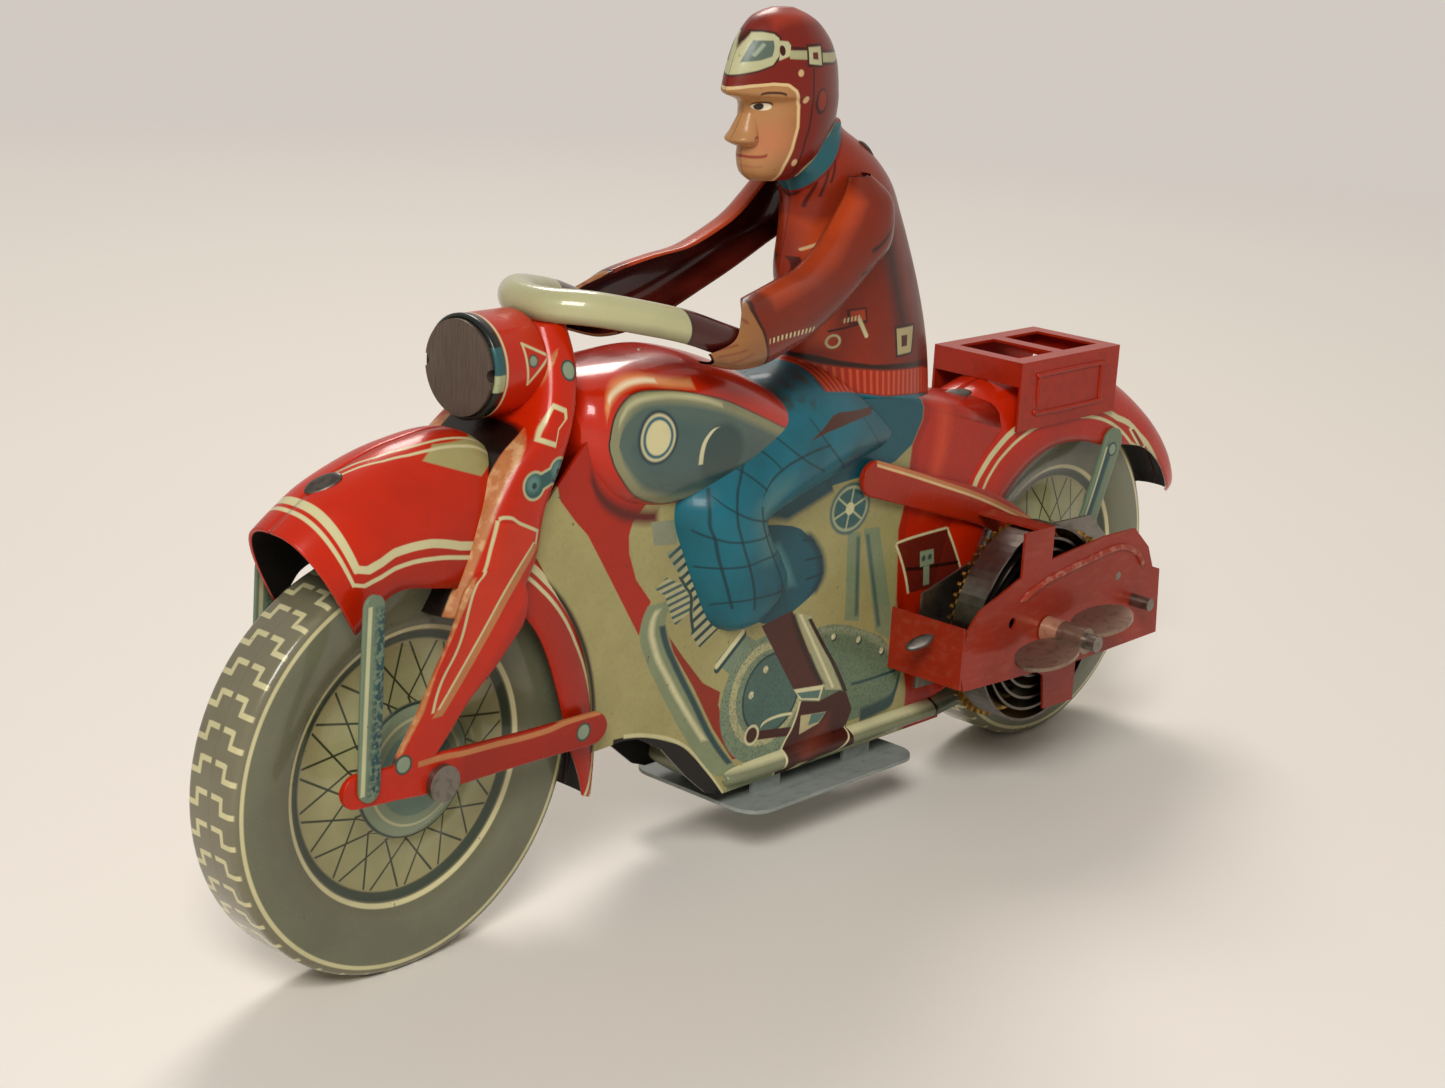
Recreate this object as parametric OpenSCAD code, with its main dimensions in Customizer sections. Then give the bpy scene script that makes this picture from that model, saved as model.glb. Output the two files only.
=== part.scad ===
// Wind-up tinplate motorcycle with a rider.
// The front of the machine points to -X, its left side to -Y, and it stands on z = 0.
// Shapes are drawn from the middle of the wheelbase, at the height of the axles.
// A depth is measured from the seam between the two pressings out to either side.

/* [Wheels] */
// Distance between the two axles
wheelbase = 200; // [180:1:220]
// Wheel diameter over the tread
wheel_d = 80; // [72:0.5:88]
// Tyre width at its widest
tyre_w = 14; // [11:0.5:16]
// Diameter of the rim inside the tyre
rim_d = 53; // [46:0.5:58]
// Diameter of the hub drum
hub_drum_d = 26; // [18:0.5:34]
// Thickness of the wheel sheet
wheel_sheet = 0.5; // [0.4:0.05:0.8]
// Front axle diameter
front_axle_d = 3.2; // [2.6:0.1:4]
// Rear axle diameter
rear_axle_d = 3; // [2.6:0.1:3.6]
// Wall of the bush between the two wheel discs
bush_wall = 1.7; // [1.2:0.1:2.4]
// Diameter of the riveted axle heads
axle_head_d = 7; // [5.5:0.1:8.5]

/* [Body pressings] */
// Thickness of the pressed sheet
body_sheet = 0.7; // [0.5:0.05:0.9]
// Side room from the tyre to the outer face of the mudguards
guard_gap = 5; // [4:0.25:7]
// How far the engine panel lies inside the face of the mudguards
panel_drop = 1; // [0.5:0.25:2]
// How far the fork blade stands outside the face of the mudguards
fork_stand = 2.8; // [2:0.1:4]
// How far the rear stays stand outside the face of the mudguards
stay_stand = 1.2; // [0.8:0.1:2]
// How far the exhaust pipe stands outside the engine panel
exhaust_stand = 2.8; // [1.5:0.1:4.5]
// Thickness of the tongues that carry the axles
tongue = 1.4; // [1:0.1:1.8]
// Depth of the tank
tank_depth = 16.5; // [14:0.25:20]
// Depth of the bent leg
leg_depth = 19.5; // [16:0.25:23]
// Depth of the rider's body at the chest
chest_depth = 11; // [9:0.25:13]
// Depth of the rider's head
head_depth = 8; // [6.5:0.25:10]
// Gap left at the seam between the two pressings
seam_gap = 0.02; // [0.01:0.01:0.1]

/* [Headlamp] */
// Diameter of the lamp drum
lamp_d = 19.4; // [16:0.2:23]
// Thickness of the steel disc in the lamp
lamp_disc = 0.8; // [0.5:0.1:1.2]

/* [Handlebar and arms] */
// Diameter of the rolled handlebar
bar_d = 7; // [5:0.1:8]
// Thickness of the handlebar sheet
bar_sheet = 0.6; // [0.4:0.05:0.8]
// Half the distance between the two grips
grip_reach = 19.5; // [17:0.5:23]
// Thickness of the arm sheet
arm_sheet = 0.7; // [0.5:0.05:0.9]

/* [Base plate and rack] */
// Length of the base plate
base_l = 56; // [46:1:60]
// Width of the base plate
base_w = 37; // [30:0.5:42]
// Thickness of the base plate
base_t = 0.8; // [0.6:0.1:1.2]
// Corner radius of the base plate
base_corner = 6; // [3:0.5:9]
// Length of the luggage rack
rack_l = 39; // [34:0.5:42]
// Height of the rack's side panels
rack_h = 16; // [11:0.5:18]
// Thickness of the rack sheet
rack_sheet = 0.6; // [0.5:0.05:0.9]
// Width of the rack's top frame and cross bar
rack_rail = 4; // [3:0.25:6]

/* [Clockwork] */
// Angle at which the second arbor stands over the rear axle
train_angle = 45; // [30:1:60]
// Thickness of the two clockwork plates
plate_t = 0.6; // [0.5:0.05:0.9]
// Room between the rear stay and the inner plate
works_gap = 3.2; // [2:0.1:5]
// Diameter of the winding arbor
arbor_d = 3.6; // [3:0.1:4]
// Diameter of the small arbor's pivots
pivot_d = 2; // [1.6:0.1:2.4]
// Tooth size of the great wheel and the pinion it drives
coarse_module = 0.8; // [0.7:0.05:0.9]
// Teeth on the great wheel
great_teeth = 56; // [48:1:60]
// Teeth on the pinion that the great wheel drives
pinion_teeth = 16; // [12:1:20]
// Tooth size of the second gear pair
fine_module = 0.6; // [0.5:0.05:0.7]
// Teeth on the second gear
second_teeth = 24; // [20:1:30]
// Teeth on the rear axle's pinion
axle_teeth = 10; // [9:1:12]
// Thickness of the gears
gear_t = 1; // [0.7:0.05:1.4]
// Diameter of the pillars between the plates
pillar_d = 3; // [2.4:0.1:3.4]
// Width of the mainspring's strip
spring_w = 7; // [5:0.25:10]
// Thickness of the mainspring's strip
spring_t = 0.6; // [0.4:0.05:0.8]
// Turns of the mainspring
spring_turns = 8; // [5:1:11]
// Teeth on the ratchet wheel
ratchet_teeth = 12; // [10:1:16]
// Diameter of the ratchet wheel
ratchet_d = 14; // [11:0.5:17]

/* [Key] */
// Span across the two wings
key_span = 38; // [32:0.5:46]
// Width of a wing
wing_w = 12.5; // [9:0.25:14]
// Length of a wing
wing_l = 17; // [13:0.5:17.5]
// Thickness of the wing sheet
wing_t = 0.9; // [0.7:0.05:1.3]
// Diameter of the key's sleeve
sleeve_d = 6; // [5.4:0.1:7]
// Tilt of the wings from level
key_tilt = 10; // [0:1:30]

/* [Hidden] */
$fn = 64;

// Fits
running = 0.05;
fixed = 0.01;
loose = 0.3;
hair = 0.05;

// The wheelbase and the wheel that the pressing's outline was drawn for
drawn_base = 200;
middle_x = -8;
wheel_r = wheel_d / 2;
front_x = -wheelbase / 2;
rear_x = wheelbase / 2;
stretch = wheelbase / drawn_base;

// Gear radii, the second arbor over the rear axle, and the key axis where its mesh ends
tip_share = 0.8;
root_share = 1.2;
great_r = coarse_module * great_teeth / 2;
pinion_r = coarse_module * pinion_teeth / 2;
second_r = fine_module * second_teeth / 2;
axle_r = fine_module * axle_teeth / 2;
first_reach = great_r + pinion_r;
second_reach = second_r + axle_r;
arbor_up = second_reach * sin(train_angle);
arbor_along = sqrt(first_reach * first_reach - arbor_up * arbor_up);
second_x = rear_x - second_reach * cos(train_angle);
key_x = second_x - arbor_along;
first_angle = atan2(arbor_up, arbor_along);
second_angle = -train_angle;
great_tip = great_r + tip_share * coarse_module;

// Depths of the pressings' faces, from the tyre out
guard_depth = tyre_w / 2 + guard_gap;
panel_depth = guard_depth - panel_drop;
fork_depth = guard_depth + fork_stand;
stay_depth = guard_depth + stay_stand;
exhaust_depth = panel_depth + exhaust_stand;

// Depths of the clockwork's layers, from the inner plate out
inner_plate_depth = stay_depth + works_gap + plate_t;
second_depth = inner_plate_depth + 0.5;
ratchet_depth = inner_plate_depth + 1.5;
great_depth = ratchet_depth + gear_t + 0.6;
spring_depth = great_depth + gear_t + 1.2;
outer_plate_depth = spring_depth + spring_w + 1.1 + plate_t;
key_depth = outer_plate_depth + wing_w / 2 + 1.75;
rear_axle_end = outer_plate_depth + 5;

// Pillars: the first beside the great wheel, where the mainspring hooks on, the other past the rear axle
pillar_turn = 189;
pillar_reach = great_tip + pillar_d / 2 + 1.3;
pillar_at = [[key_x + pillar_reach * cos(pillar_turn), pillar_reach * sin(pillar_turn)],
             [rear_x + 6.8, -5]];
hook_clear = 0.15;

// Rows of a half section: front edge x z, back edge x z, depth, roundness
torso = [[5, 44, 52, 40, -0.5, 2], [5.5, 56, 51.5, 52, -0.3, 1.9], [6.2, 64, 49.3, 64, 0, 1.8],
         [3.8, 74, 45.8, 75, 0, 1.7], [1.6, 82, 41.8, 84.5, 0, 1.6], [2.8, 90, 37.2, 92.5, 0, 1.6],
         [3.4, 96.6, 32, 100, -0.5, 1.7], [1.2, 101, 25, 106.3, -2.4, 1.8], [-0.5, 102.5, 16.8, 111, -4.4, 1.9],
         [-1.5, 106, 15.4, 113, -5, 2]];
leg = [[8, 63, 38, 40, -8, 2.4], [-6, 62, 24, 40, -4.2, 2.4], [-19, 58, 10, 37.5, -2, 2.4],
       [-29, 51, -2, 36, -0.5, 2.4], [-37.5, 44, -11, 34, 0, 2.5], [-39.3, 38.5, -9, 29.5, 0, 2.5],
       [-36.5, 30.5, -4.5, 25, -0.5, 2.4], [-32.5, 22, -2, 19.5, -1.5, 2.4],
       [-28, 14.5, -7.5, 13, -4.5, 2.4], [-23, 11.2, -11.5, 11.2, -8, 2.2]];
tank = [[-64, 64, -63, 53, -6.5, 2.4], [-61, 67.5, -59.5, 47.5, -3.5, 2.5], [-55, 69.5, -53, 42, -1.5, 2.6],
        [-46, 70.5, -44, 39.5, -0.5, 2.6], [-34, 70.5, -34, 39, 0, 2.6], [-22, 67, -22, 39.5, 0, 2.6],
        [-10, 61.5, -10, 40, -1, 2.5], [0, 55.5, 0, 40, -3, 2.4]];
fork = [[-72, 79.5, -63.5, 79.5, -7.8, 3], [-73.5, 72, -63.8, 72, -3.8, 3.4], [-76.5, 63, -66.5, 63, -1.3, 4],
        [-84, 56.5, -69, 55.5, -0.3, 4], [-90, 47, -73, 47, 0, 4], [-94.5, 38, -74.5, 38, 0, 4],
        [-98.5, 30, -79, 29.5, 0, 4]];
exhaust = [[-19, -19.5, -19, -23.5, -2.3, 2], [-11, -18, -11, -24.8, -0.3, 2.2], [46, -17.7, 46, -24.8, 0, 2.2],
           [52, -17.7, 52, -25.2, -0.3, 2.2], [64, -18.5, 65, -24.2, -1.8, 2.2]];
// Rows of the head: height, front x, back x, depth, roundness
head_rows = [[101.3, -9, 3, -4.9, 2], [103, -11.3, 7, -3.1, 1.9], [106, -12.2, 11.4, -1.7, 1.8],
             [109.5, -12, 13.6, -1, 1.7], [113.5, -12.4, 14.6, -0.6, 1.7], [117, -12.8, 14.9, -0.3, 1.7],
             [118.8, -17.4, 14.9, 0, 1.7], [121, -17.4, 14.6, 0, 1.7], [124.5, -16.4, 13.7, -0.1, 1.7],
             [128.5, -14.6, 11.5, -0.6, 1.7], [131.8, -12.2, 8.2, -2, 1.7], [133.8, -9.5, 4.5, -3.6, 1.8],
             [135.2, -5.5, 0.5, -6.3, 2]];
head_form = [for (h = head_rows) [h[1], h[0], h[2], h[0], h[3], h[4]]];
nose = [[-12.3, 115.2, -9, 115, -6.1, 2], [-14.3, 111.5, -9, 112, -5.1, 2],
        [-15.5, 109.4, -9, 110, -4.5, 2], [-12.1, 108, -9, 108.6, -5.7, 2]];
// Rows of a mudguard: angle round the axle, crown over the tread, edge over the tread, depth
front_guard = [[-20, 9.5, 4, -2], [-10, 8, -2, -0.5], [0, 7.3, -5.7, 0], [20, 7.4, -7.2, 0], [42, 9, -6, 0],
               [57, 12, -5.2, 0], [67, 18, -5, 0], [77, 22.5, -4.8, 0], [90, 20.6, -4, 0], [101, 18.6, -2.2, 0],
               [108, 17.5, -2.4, 0], [113.5, 16.5, -4, -0.2], [119.5, 15.6, -4.8, -0.5]];
rear_guard = [[13.5, 16.5, 13.5, -7], [17, 16.3, 10.5, -4.5], [23, 14.6, 7.5, -2.5], [32, 12.6, 4.4, -1],
              [45, 10.8, 0.6, 0], [58, 10.4, -3.5, 0], [72, 11, -6.4, 0], [90, 12.5, -5.4, 0],
              [110, 15.5, -3.4, 0], [128, 20, -2.3, 0], [150, 22.5, -1.6, 0], [178, 22, 0, 0],
              [193, 21.6, 1.6, 0], [201, 21.2, 3, 0]];
// Rows of an arm: upper edge x z, lower edge x z, depth of the open edges, swell, and the turn at which the sheet starts
arm = [[10, 102.2, 14.5, 102.8, 9.6, 3.5, 0], [7.6, 98.8, 18.5, 98.6, 10.7, 6.2, 0], [4.6, 95.6, 19, 93.6, 11.15, 7.4, 0],
       [1, 92.2, 17, 88.3, 11.8, 8, 0], [-3, 89.5, 10.8, 84.6, 12.8, 8, 0], [-10.4, 86, 3, 80, 14.4, 7.8, 0],
       [-18, 84.6, -5, 75.9, 15.9, 7.5, 0], [-24, 83.4, -12.5, 72.5, 16.8, 7.3, 0], [-29, 82.2, -20, 70.3, 17.2, 7.3, 0],
       [-33, 80.4, -25.5, 69, 17.2, 7.6, 25], [-38.5, 78.2, -33, 69, 17.2, 7.8, 60],
       [-43.5, 75, -40.5, 71, 17.8, 5, 70]];
// Handlebar's middle line on one side: x, depth, and height over its seat on the fork
bar_line = [[-67.7, 0, 0], [-66.8, 4.5, 0], [-62, 10, -0.2], [-54, 14.5, -1.8], [-45.6, 17.5, -3.9], [-37, 19.5, -7]];

// Smooth curve through rows of numbers, a cubic between each two
function cubic(p, q, r, s, t) =
    0.5 * (2 * q + (r - p) * t + (2 * p - 5 * q + 4 * r - s) * t * t + (3 * q - p - 3 * r + s) * t * t * t);
function smooth(rows, steps) =
    let (last = len(rows) - 1)
    concat([for (i = [0:last - 1], k = [0:steps - 1])
                cubic(rows[max(i - 1, 0)], rows[i], rows[i + 1], rows[min(i + 2, last)], k / steps)],
           [rows[last]]);
function power(value, e) = sign(value) * pow(abs(value), e);
function total(list, i = 0) = i == len(list) - 1 ? list[i] : list[i] + total(list, i + 1);
function middle(list) = total(list) / len(list);
function loop_normal(p) = total([for (i = [0:len(p) - 1]) cross(p[i], p[(i + 1) % len(p)])]);

// Solid that joins closed rings of points, capped at both ends
module ring_loft(rings) {
    n = len(rings[0]);
    m = len(rings);
    outward_first = loop_normal(rings[0]) * (middle(rings[1]) - middle(rings[0])) > 0;
    sides = [for (i = [0:m - 2], j = [0:n - 1])
                 let (a = i * n + j, b = i * n + (j + 1) % n)
                 each [[a, a + n, b], [b, a + n, b + n]]];
    caps = [[for (j = [0:n - 1]) j], [for (j = [n - 1:-1:0]) (m - 1) * n + j]];
    all_faces = concat(sides, caps);
    polyhedron(points = [for (r = rings) each r],
               faces = outward_first ? all_faces
                                     : [for (f = all_faces) [for (k = [len(f) - 1:-1:0]) f[k]]],
               convexity = 8);
}

// Half form from rows of edges: each section is an oval arc from the front edge, out to the side, to the back edge
function half_ring(row, depth, inset, sides, seam_y) =
    let (f = [row[0] * stretch, row[1]], b = [row[2] * stretch, row[3]],
         along = (b - f) / norm(b - f),
         f1 = f + along * inset, b1 = b - along * inset,
         mid = (f1 + b1) / 2, half = (f1 - b1) / 2,
         deep = depth + row[4] - inset, e = 2 / row[5])
    [for (j = [0:sides])
         let (a = 180 * j / sides, p = mid + half * power(cos(a), e),
              edge = j == 0 || j == sides)
         [p[0], edge ? seam_y : -deep * power(sin(a), e), p[1]]];
// The hollow stops short of both ends by the sheet
function toward(row, next, reach) =
    let (a = [row[0] + row[2], row[1] + row[3]] / 2, b = [next[0] + next[2], next[1] + next[3]] / 2)
    row + (next - row) * reach / norm(b - a);
function shortened(rows, reach) =
    let (last = len(rows) - 1)
    [for (i = [0:last])
         i == 0 ? toward(rows[0], rows[1], reach)
                : i == last ? toward(rows[last], rows[last - 1], reach) : rows[i]];
module half_form(rows, depth, inset, sides, steps)
    ring_loft([for (r = smooth(shortened(rows, inset), steps))
                   half_ring(r, depth, inset, sides, inset > 0 ? 1 : -seam_gap / 2)]);

// Mudguard form: each section is a quarter oval from the crown on the seam to the edge at the side.
// The hollow's section is the same oval less the sheet, carried on below the edge.
guard_round = 2.6;
below_edge = 12;
function guard_ring(row, x, inset, sides) =
    let (a = row[0], crown = wheel_r + row[1] - inset, edge = wheel_r + row[2],
         low = edge - below_edge,
         deep = guard_depth + row[3] - inset, seam_y = inset > 0 ? 1 : -seam_gap / 2, e = 2 / guard_round)
    concat([for (j = [0:sides])
                let (t = 90 * j / sides, r = edge + (crown - edge) * power(cos(t), e))
                [x + r * cos(a), j == 0 ? seam_y : -deep * power(sin(t), e), r * sin(a)]],
           inset > 0 ? [[x + low * cos(a), -deep, low * sin(a)], [x + low * cos(a), seam_y, low * sin(a)]]
                     : [[x + edge * cos(a), seam_y, edge * sin(a)]]);
module guard(rows, x, inset, sides, steps, open) {
    last = len(rows) - 1;
    run_out = inset > 0 ? open : 0;
    ends = [for (i = [0:last])
                i == 0 ? rows[i] - [run_out, 0, 0, 0]
                       : i == last ? rows[i] + [run_out, 0, 0, 0] : rows[i]];
    ring_loft([for (r = smooth(ends, steps)) guard_ring(r, x, inset, sides)]);
}

// Drawing on the side: outlines are x and height, and depth grows away from the seam
module sideways(from, to) translate([0, -from, 0]) rotate([90, 0, 0]) linear_extrude(to - from) children();
module rod(x, z, d, from, to, $fn = $fn) translate([x, -from, z]) rotate([90, 0, 0]) cylinder(d = d, h = to - from);
module strip(a, b, w, from, to)
    hull() {
        sideways(from, to) translate(a) circle(d = w, $fn = 16);
        sideways(from, to) translate(b) circle(d = w, $fn = 16);
    }
module standing() translate([middle_x, 0, wheel_r]) children();
function arc(c, r, from, to, n) = [for (i = [0:n]) c + r * [cos(from + (to - from) * i / n), sin(from + (to - from) * i / n)]];

// Flat engine panel between the two mudguards
panel_bottom = -24.5;
function panel_outline() =
    concat(arc([front_x, 0], wheel_r + 6.5, 62, -8, 12),
           [for (p = [[-49, -5.5], [-44.7, -6.2], [-38, -10], [-30, -18], [-24, -23],
                      [-20, panel_bottom], [44, panel_bottom]]) [p[0] * stretch, p[1]]],
           arc([rear_x, 0], wheel_r + 20, 203.3, 126.6, 11),
           [for (p = [[28, 54], [-10, 58], [-58, 62]]) [p[0] * stretch, p[1]]]);
module panel(inset) {
    if (inset == 0)
        sideways(seam_gap / 2, panel_depth) polygon(panel_outline());
    else
        sideways(-1, panel_depth - inset) {
            offset(delta = -inset) polygon(panel_outline());
            translate([-19 * stretch, panel_bottom - 1]) square([60 * stretch, 3]);
        }
}

// Lamp drum on the front of the fork, ending just before the handlebar
lamp_z = 72.1;
lamp_front = -84.6 * stretch;
lamp_back = bar_line[0][0] * stretch - bar_d / 2 - loose;
module lamp_drum(inset)
    intersection() {
        translate([lamp_front - (inset > 0 ? 2 : 0), 0, lamp_z]) rotate([0, 90, 0])
            cylinder(d = lamp_d - 2 * inset, h = lamp_back - lamp_front + (inset > 0 ? 1 : 0), $fn = 40);
        translate([front_x, inset > 0 ? -50 : -50 - seam_gap / 2, 0])
            cube([100, inset > 0 ? 51 : 50, 200]);
    }

// Everything that one half of the pressing swells out to
module half_forms(inset) {
    half_form(torso, chest_depth, inset, 10, 2);
    half_form(head_form, head_depth, inset, 10, 1);
    half_form(leg, leg_depth, inset, 8, 2);
    half_form(tank, tank_depth, inset, 8, 2);
    half_form(fork, fork_depth, inset, 8, 2);
    half_form(exhaust, exhaust_depth, inset, 8, 1);
    guard(front_guard, front_x, inset, 6, 2, 4);
    guard(rear_guard, rear_x, inset, 6, 2, 3);
    panel(inset);
    lamp_drum(inset);
}

// Tongues that carry the axles, with the fork link and the two struts
module tongues() {
    inner = fork_depth - tongue;
    strip([front_x + 12, 30], [front_x + 4, 19], 15, inner, fork_depth);
    strip([front_x + 4, 19], [front_x - 6, 6], 9, inner, fork_depth);
    strip([front_x - 6, 6], [front_x - 8, 3.5], 7, inner, fork_depth);
    strip([front_x - 19, 2.8], [front_x, 1.8], 6.6, inner, fork_depth);
    strip([front_x, 1.8], [front_x + 39, 1], 6.6, inner, fork_depth);
    rod(front_x, 0, 10, inner, fork_depth, $fn = 24);
    rod(front_x + 38, 1, 5, panel_depth - body_sheet / 2, fork_depth + 0.6, $fn = 20);
    strip([front_x - 16.5, 36.5], [front_x - 17, 3], 4.6, fork_depth - hair, fork_depth + 0.8);
    rod(front_x - 16.5, 36.5, 4.4, panel_depth - body_sheet / 2, fork_depth, $fn = 20);
    low = stay_depth - tongue;
    strip([rear_x - 78 * stretch, 37.5], [rear_x - 34, 23], 8, panel_depth - body_sheet / 2, stay_depth);
    strip([rear_x - 34, 23], [rear_x - 1, 3], 8, low, stay_depth);
    strip([rear_x + 13, 32.5], [rear_x + 1, 4], 7, low - 0.2, stay_depth);
    rod(rear_x, 0, 11, low, stay_depth, $fn = 24);
}
module half_pressing()
    difference() {
        union() {
            difference() {
                union() {
                    half_forms(0);
                    half_form(nose, head_depth, 0, 6, 2);
                }
                half_forms(body_sheet);
            }
            tongues();
        }
        rod(front_x, 0, front_axle_d + 2 * fixed, 0, 2 * fork_depth);
        rod(rear_x, 0, rear_axle_d + 2 * running, 0, 2 * fork_depth);
    }
module left_half() color("firebrick") standing() half_pressing();
module right_half() color("firebrick") standing() mirror([0, 1, 0]) half_pressing();

// Arm: an open shell from the shoulder to the hand, its edges over the rider's side and the hand under the grip
arm_round = 2.4;
drawn_chest = 11;
drawn_grip = 19.5;
drawn_bar_d = 7;
arm_last = len(arm) - 1;
function arm_shift(i) =
    (chest_depth - drawn_chest) * (1 - i / arm_last)
    + (grip_reach - drawn_grip + (bar_d - drawn_bar_d) / 2) * i / arm_last;
arm_rows = [for (i = [0:arm_last]) arm[i] + [0, 0, 0, 0, arm_shift(i), 0, 0]];
function arm_ring(row, sides) =
    let (f = [row[0] * stretch, row[1]], b = [row[2] * stretch, row[3]],
         mid = (f + b) / 2, half = (f - b) / 2, size = norm(half), e = 2 / arm_round,
         shell = [for (w = [0, arm_sheet])
                      [for (j = [0:sides])
                           let (a = row[6] + (180 - row[6]) * j / sides,
                                p = mid + half * (size - w) / size * power(cos(a), e))
                           [p[0], -row[4] - (row[5] - w) * power(sin(a), e), p[1]]]])
    concat(shell[0], [for (j = [sides:-1:0]) shell[1][j]]);
module arm_shell() ring_loft([for (r = arm_rows) arm_ring(r, 8)]);
module left_arm() color("brown") standing() arm_shell();
module right_arm() color("brown") standing() mirror([0, 1, 0]) arm_shell();

// Handlebar: sheet rolled to a tube that stays open underneath, its lips on top of the fork
bar_open = 40;
fork_top = fork[0][1];
bar_z = fork_top + hair + bar_d / 2 * cos(bar_open);
function bar_path() =
    let (one = smooth([for (p = bar_line) [p[0] * stretch, p[1] * grip_reach / drawn_grip, p[2] + bar_z]], 2),
         n = len(one))
    concat([for (i = [n - 1:-1:1]) [one[i][0], -one[i][1], one[i][2]]], one);
function bar_axes(path, i) =
    let (n = len(path), run = path[min(i + 1, n - 1)] - path[max(i - 1, 0)],
         along = run / norm(run), flat = cross(along, [0, 0, 1]), across = flat / norm(flat))
    [across, cross(across, along)];
function bar_point(path, i, r, a) =
    let (axes = bar_axes(path, i)) path[i] + r * (cos(a) * axes[0] + sin(a) * axes[1]);
function open_ring(path, i, sides) =
    [for (w = [0, bar_sheet])
         for (j = [0:sides])
             let (k = w == 0 ? j : sides - j)
             bar_point(path, i, bar_d / 2 - w, -90 + bar_open + (360 - 2 * bar_open) * k / sides)];
module handlebar()
    color("darkseagreen") standing()
        ring_loft([for (i = [0:len(bar_path()) - 1]) open_ring(bar_path(), i, 9)]);

// Steel disc that closes the lamp, with a notch at each side
module headlamp_disc()
    color("dimgray") standing()
        translate([lamp_front - lamp_disc, 0, lamp_z]) rotate([0, 90, 0])
            difference() {
                cylinder(d = lamp_d - 2 * body_sheet - 2 * hair, h = lamp_disc + 1.2);
                translate([0, 0, lamp_disc]) cylinder(d = lamp_d - 6, h = 2);
                for (side = [-1, 1])
                    translate([0, side * (lamp_d / 2 - 0.6), -1]) cylinder(d = 2.4, h = 4);
            }

// Base plate under the engine, held by four upright tabs inside the pressings
base_top = panel_bottom - 3;
base_mid = 11 * stretch;
tab_l = 9;
tab_h = 13;
tab_inset = 13;
module base_plate()
    color("silver") standing() translate([base_mid, 0, base_top - base_t]) {
        linear_extrude(base_t) {
            square([base_l - 2 * base_corner, base_w], center = true);
            square([base_l, base_w - 2 * base_corner], center = true);
            for (x = [-1, 1], y = [-1, 1])
                translate([x * (base_l / 2 - base_corner), y * (base_w / 2 - base_corner)]) circle(base_corner);
        }
        for (x = [-1, 1] * (base_l / 2 - tab_inset), side = [-1, 1])
            translate([x - tab_l / 2, side * (panel_depth - body_sheet - fixed - base_t / 2) - base_t / 2, 0])
                cube([tab_l, base_t, base_t + tab_h]);
    }

// Luggage rack: a folded box that straddles the rear mudguard, its end aprons resting on the crown
rack_x = rear_x - 27;
rack_top = wheel_r + 16.5;
rack_in = guard_depth + fixed;
rack_w = 2 * (rack_in + rack_sheet);
crown_table = [for (r = smooth(rear_guard, 2)) [r[0], wheel_r + r[1]]];
function crown_over(x, z = 50) =
    let (r = lookup(atan2(z, x), crown_table), next = sqrt(r * r - x * x))
    abs(next - z) < 0.001 ? next : crown_over(x, next);
module luggage_rack()
    color("firebrick") standing()
        difference() {
            translate([rack_x, -rack_w / 2, rack_top - rack_h]) cube([rack_l, rack_w, rack_h]);
            translate([rack_x + rack_sheet, -rack_in, 0])
                cube([rack_l - 2 * rack_sheet, 2 * rack_in, rack_top - rack_sheet]);
            for (x = [rack_x - 1, rack_x + rack_l - 1])
                translate([x, -rack_in, 0]) cube([2, 2 * rack_in, crown_over(x + 1 - rear_x) + hair]);
            for (i = [0, 1])
                translate([rack_x + rack_rail + i * (rack_l - rack_rail) / 2, -rack_w / 2 + rack_rail, 0])
                    cube([(rack_l - 3 * rack_rail) / 2, rack_w - 2 * rack_rail, 2 * rack_top]);
        }

// Wheels: two pressed discs, crimped at the tread, on a bush
tread_round = 1.7;
hub_swell = 1.3;
tread_drop = 1.9;
function wheel_side(axle_d) =
    let (r = wheel_r, half = tyre_w / 2, rim = rim_d / 2, drum = hub_drum_d / 2, tread = half - tread_drop,
         hub_r = axle_d / 2 + bush_wall + fixed)
    concat([[r, 0], [r, tread]],
           [for (a = [15:15:75]) [r - tread_round * (1 - cos(a)), tread + tread_round * sin(a)]],
           [[r - 5.5, half], [(r + rim) / 2, half], [rim + 2, half - 0.7], [rim, half - 1.6],
            [rim - 2, half - 2.6], [drum + 0.8, half - 1.4], [drum, half + 0.2],
            [drum - (drum - hub_r) * 0.3, half + 1], [drum - (drum - hub_r) * 0.8, half + hub_swell]]);
module wheel_disc(axle_d) {
    outer = wheel_side(axle_d);
    hub_r = axle_d / 2 + bush_wall + fixed;
    n = len(outer);
    face = outer[n - 1][1];
    inner = [for (i = [n - 1:-1:2]) outer[i] - [i < 9 ? wheel_sheet : 0, wheel_sheet]];
    rotate([90, 0, 0]) rotate_extrude()
        polygon(concat([for (p = outer) [p[0], max(p[1], seam_gap / 2)]], [[hub_r, face], [hub_r, face - wheel_sheet]],
                       inner, [[wheel_r - wheel_sheet, outer[1][1] - wheel_sheet], [wheel_r - wheel_sheet, seam_gap / 2]]));
}
module bush(axle_d, fit)
    rotate([90, 0, 0]) difference() {
        cylinder(d = axle_d + 2 * bush_wall, h = tyre_w + 2 * hub_swell, center = true);
        cylinder(d = axle_d + 2 * fit, h = tyre_w + 4, center = true);
    }
module front_wheel_left() color("darkslategray") standing() translate([front_x, 0, 0]) wheel_disc(front_axle_d);
module front_wheel_right()
    color("darkslategray") standing() translate([front_x, 0, 0]) mirror([0, 1, 0]) wheel_disc(front_axle_d);
module front_bush() color("gray") standing() translate([front_x, 0, 0]) bush(front_axle_d, running);
module rear_wheel_left() color("darkslategray") standing() translate([rear_x, 0, 0]) wheel_disc(rear_axle_d);
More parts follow.
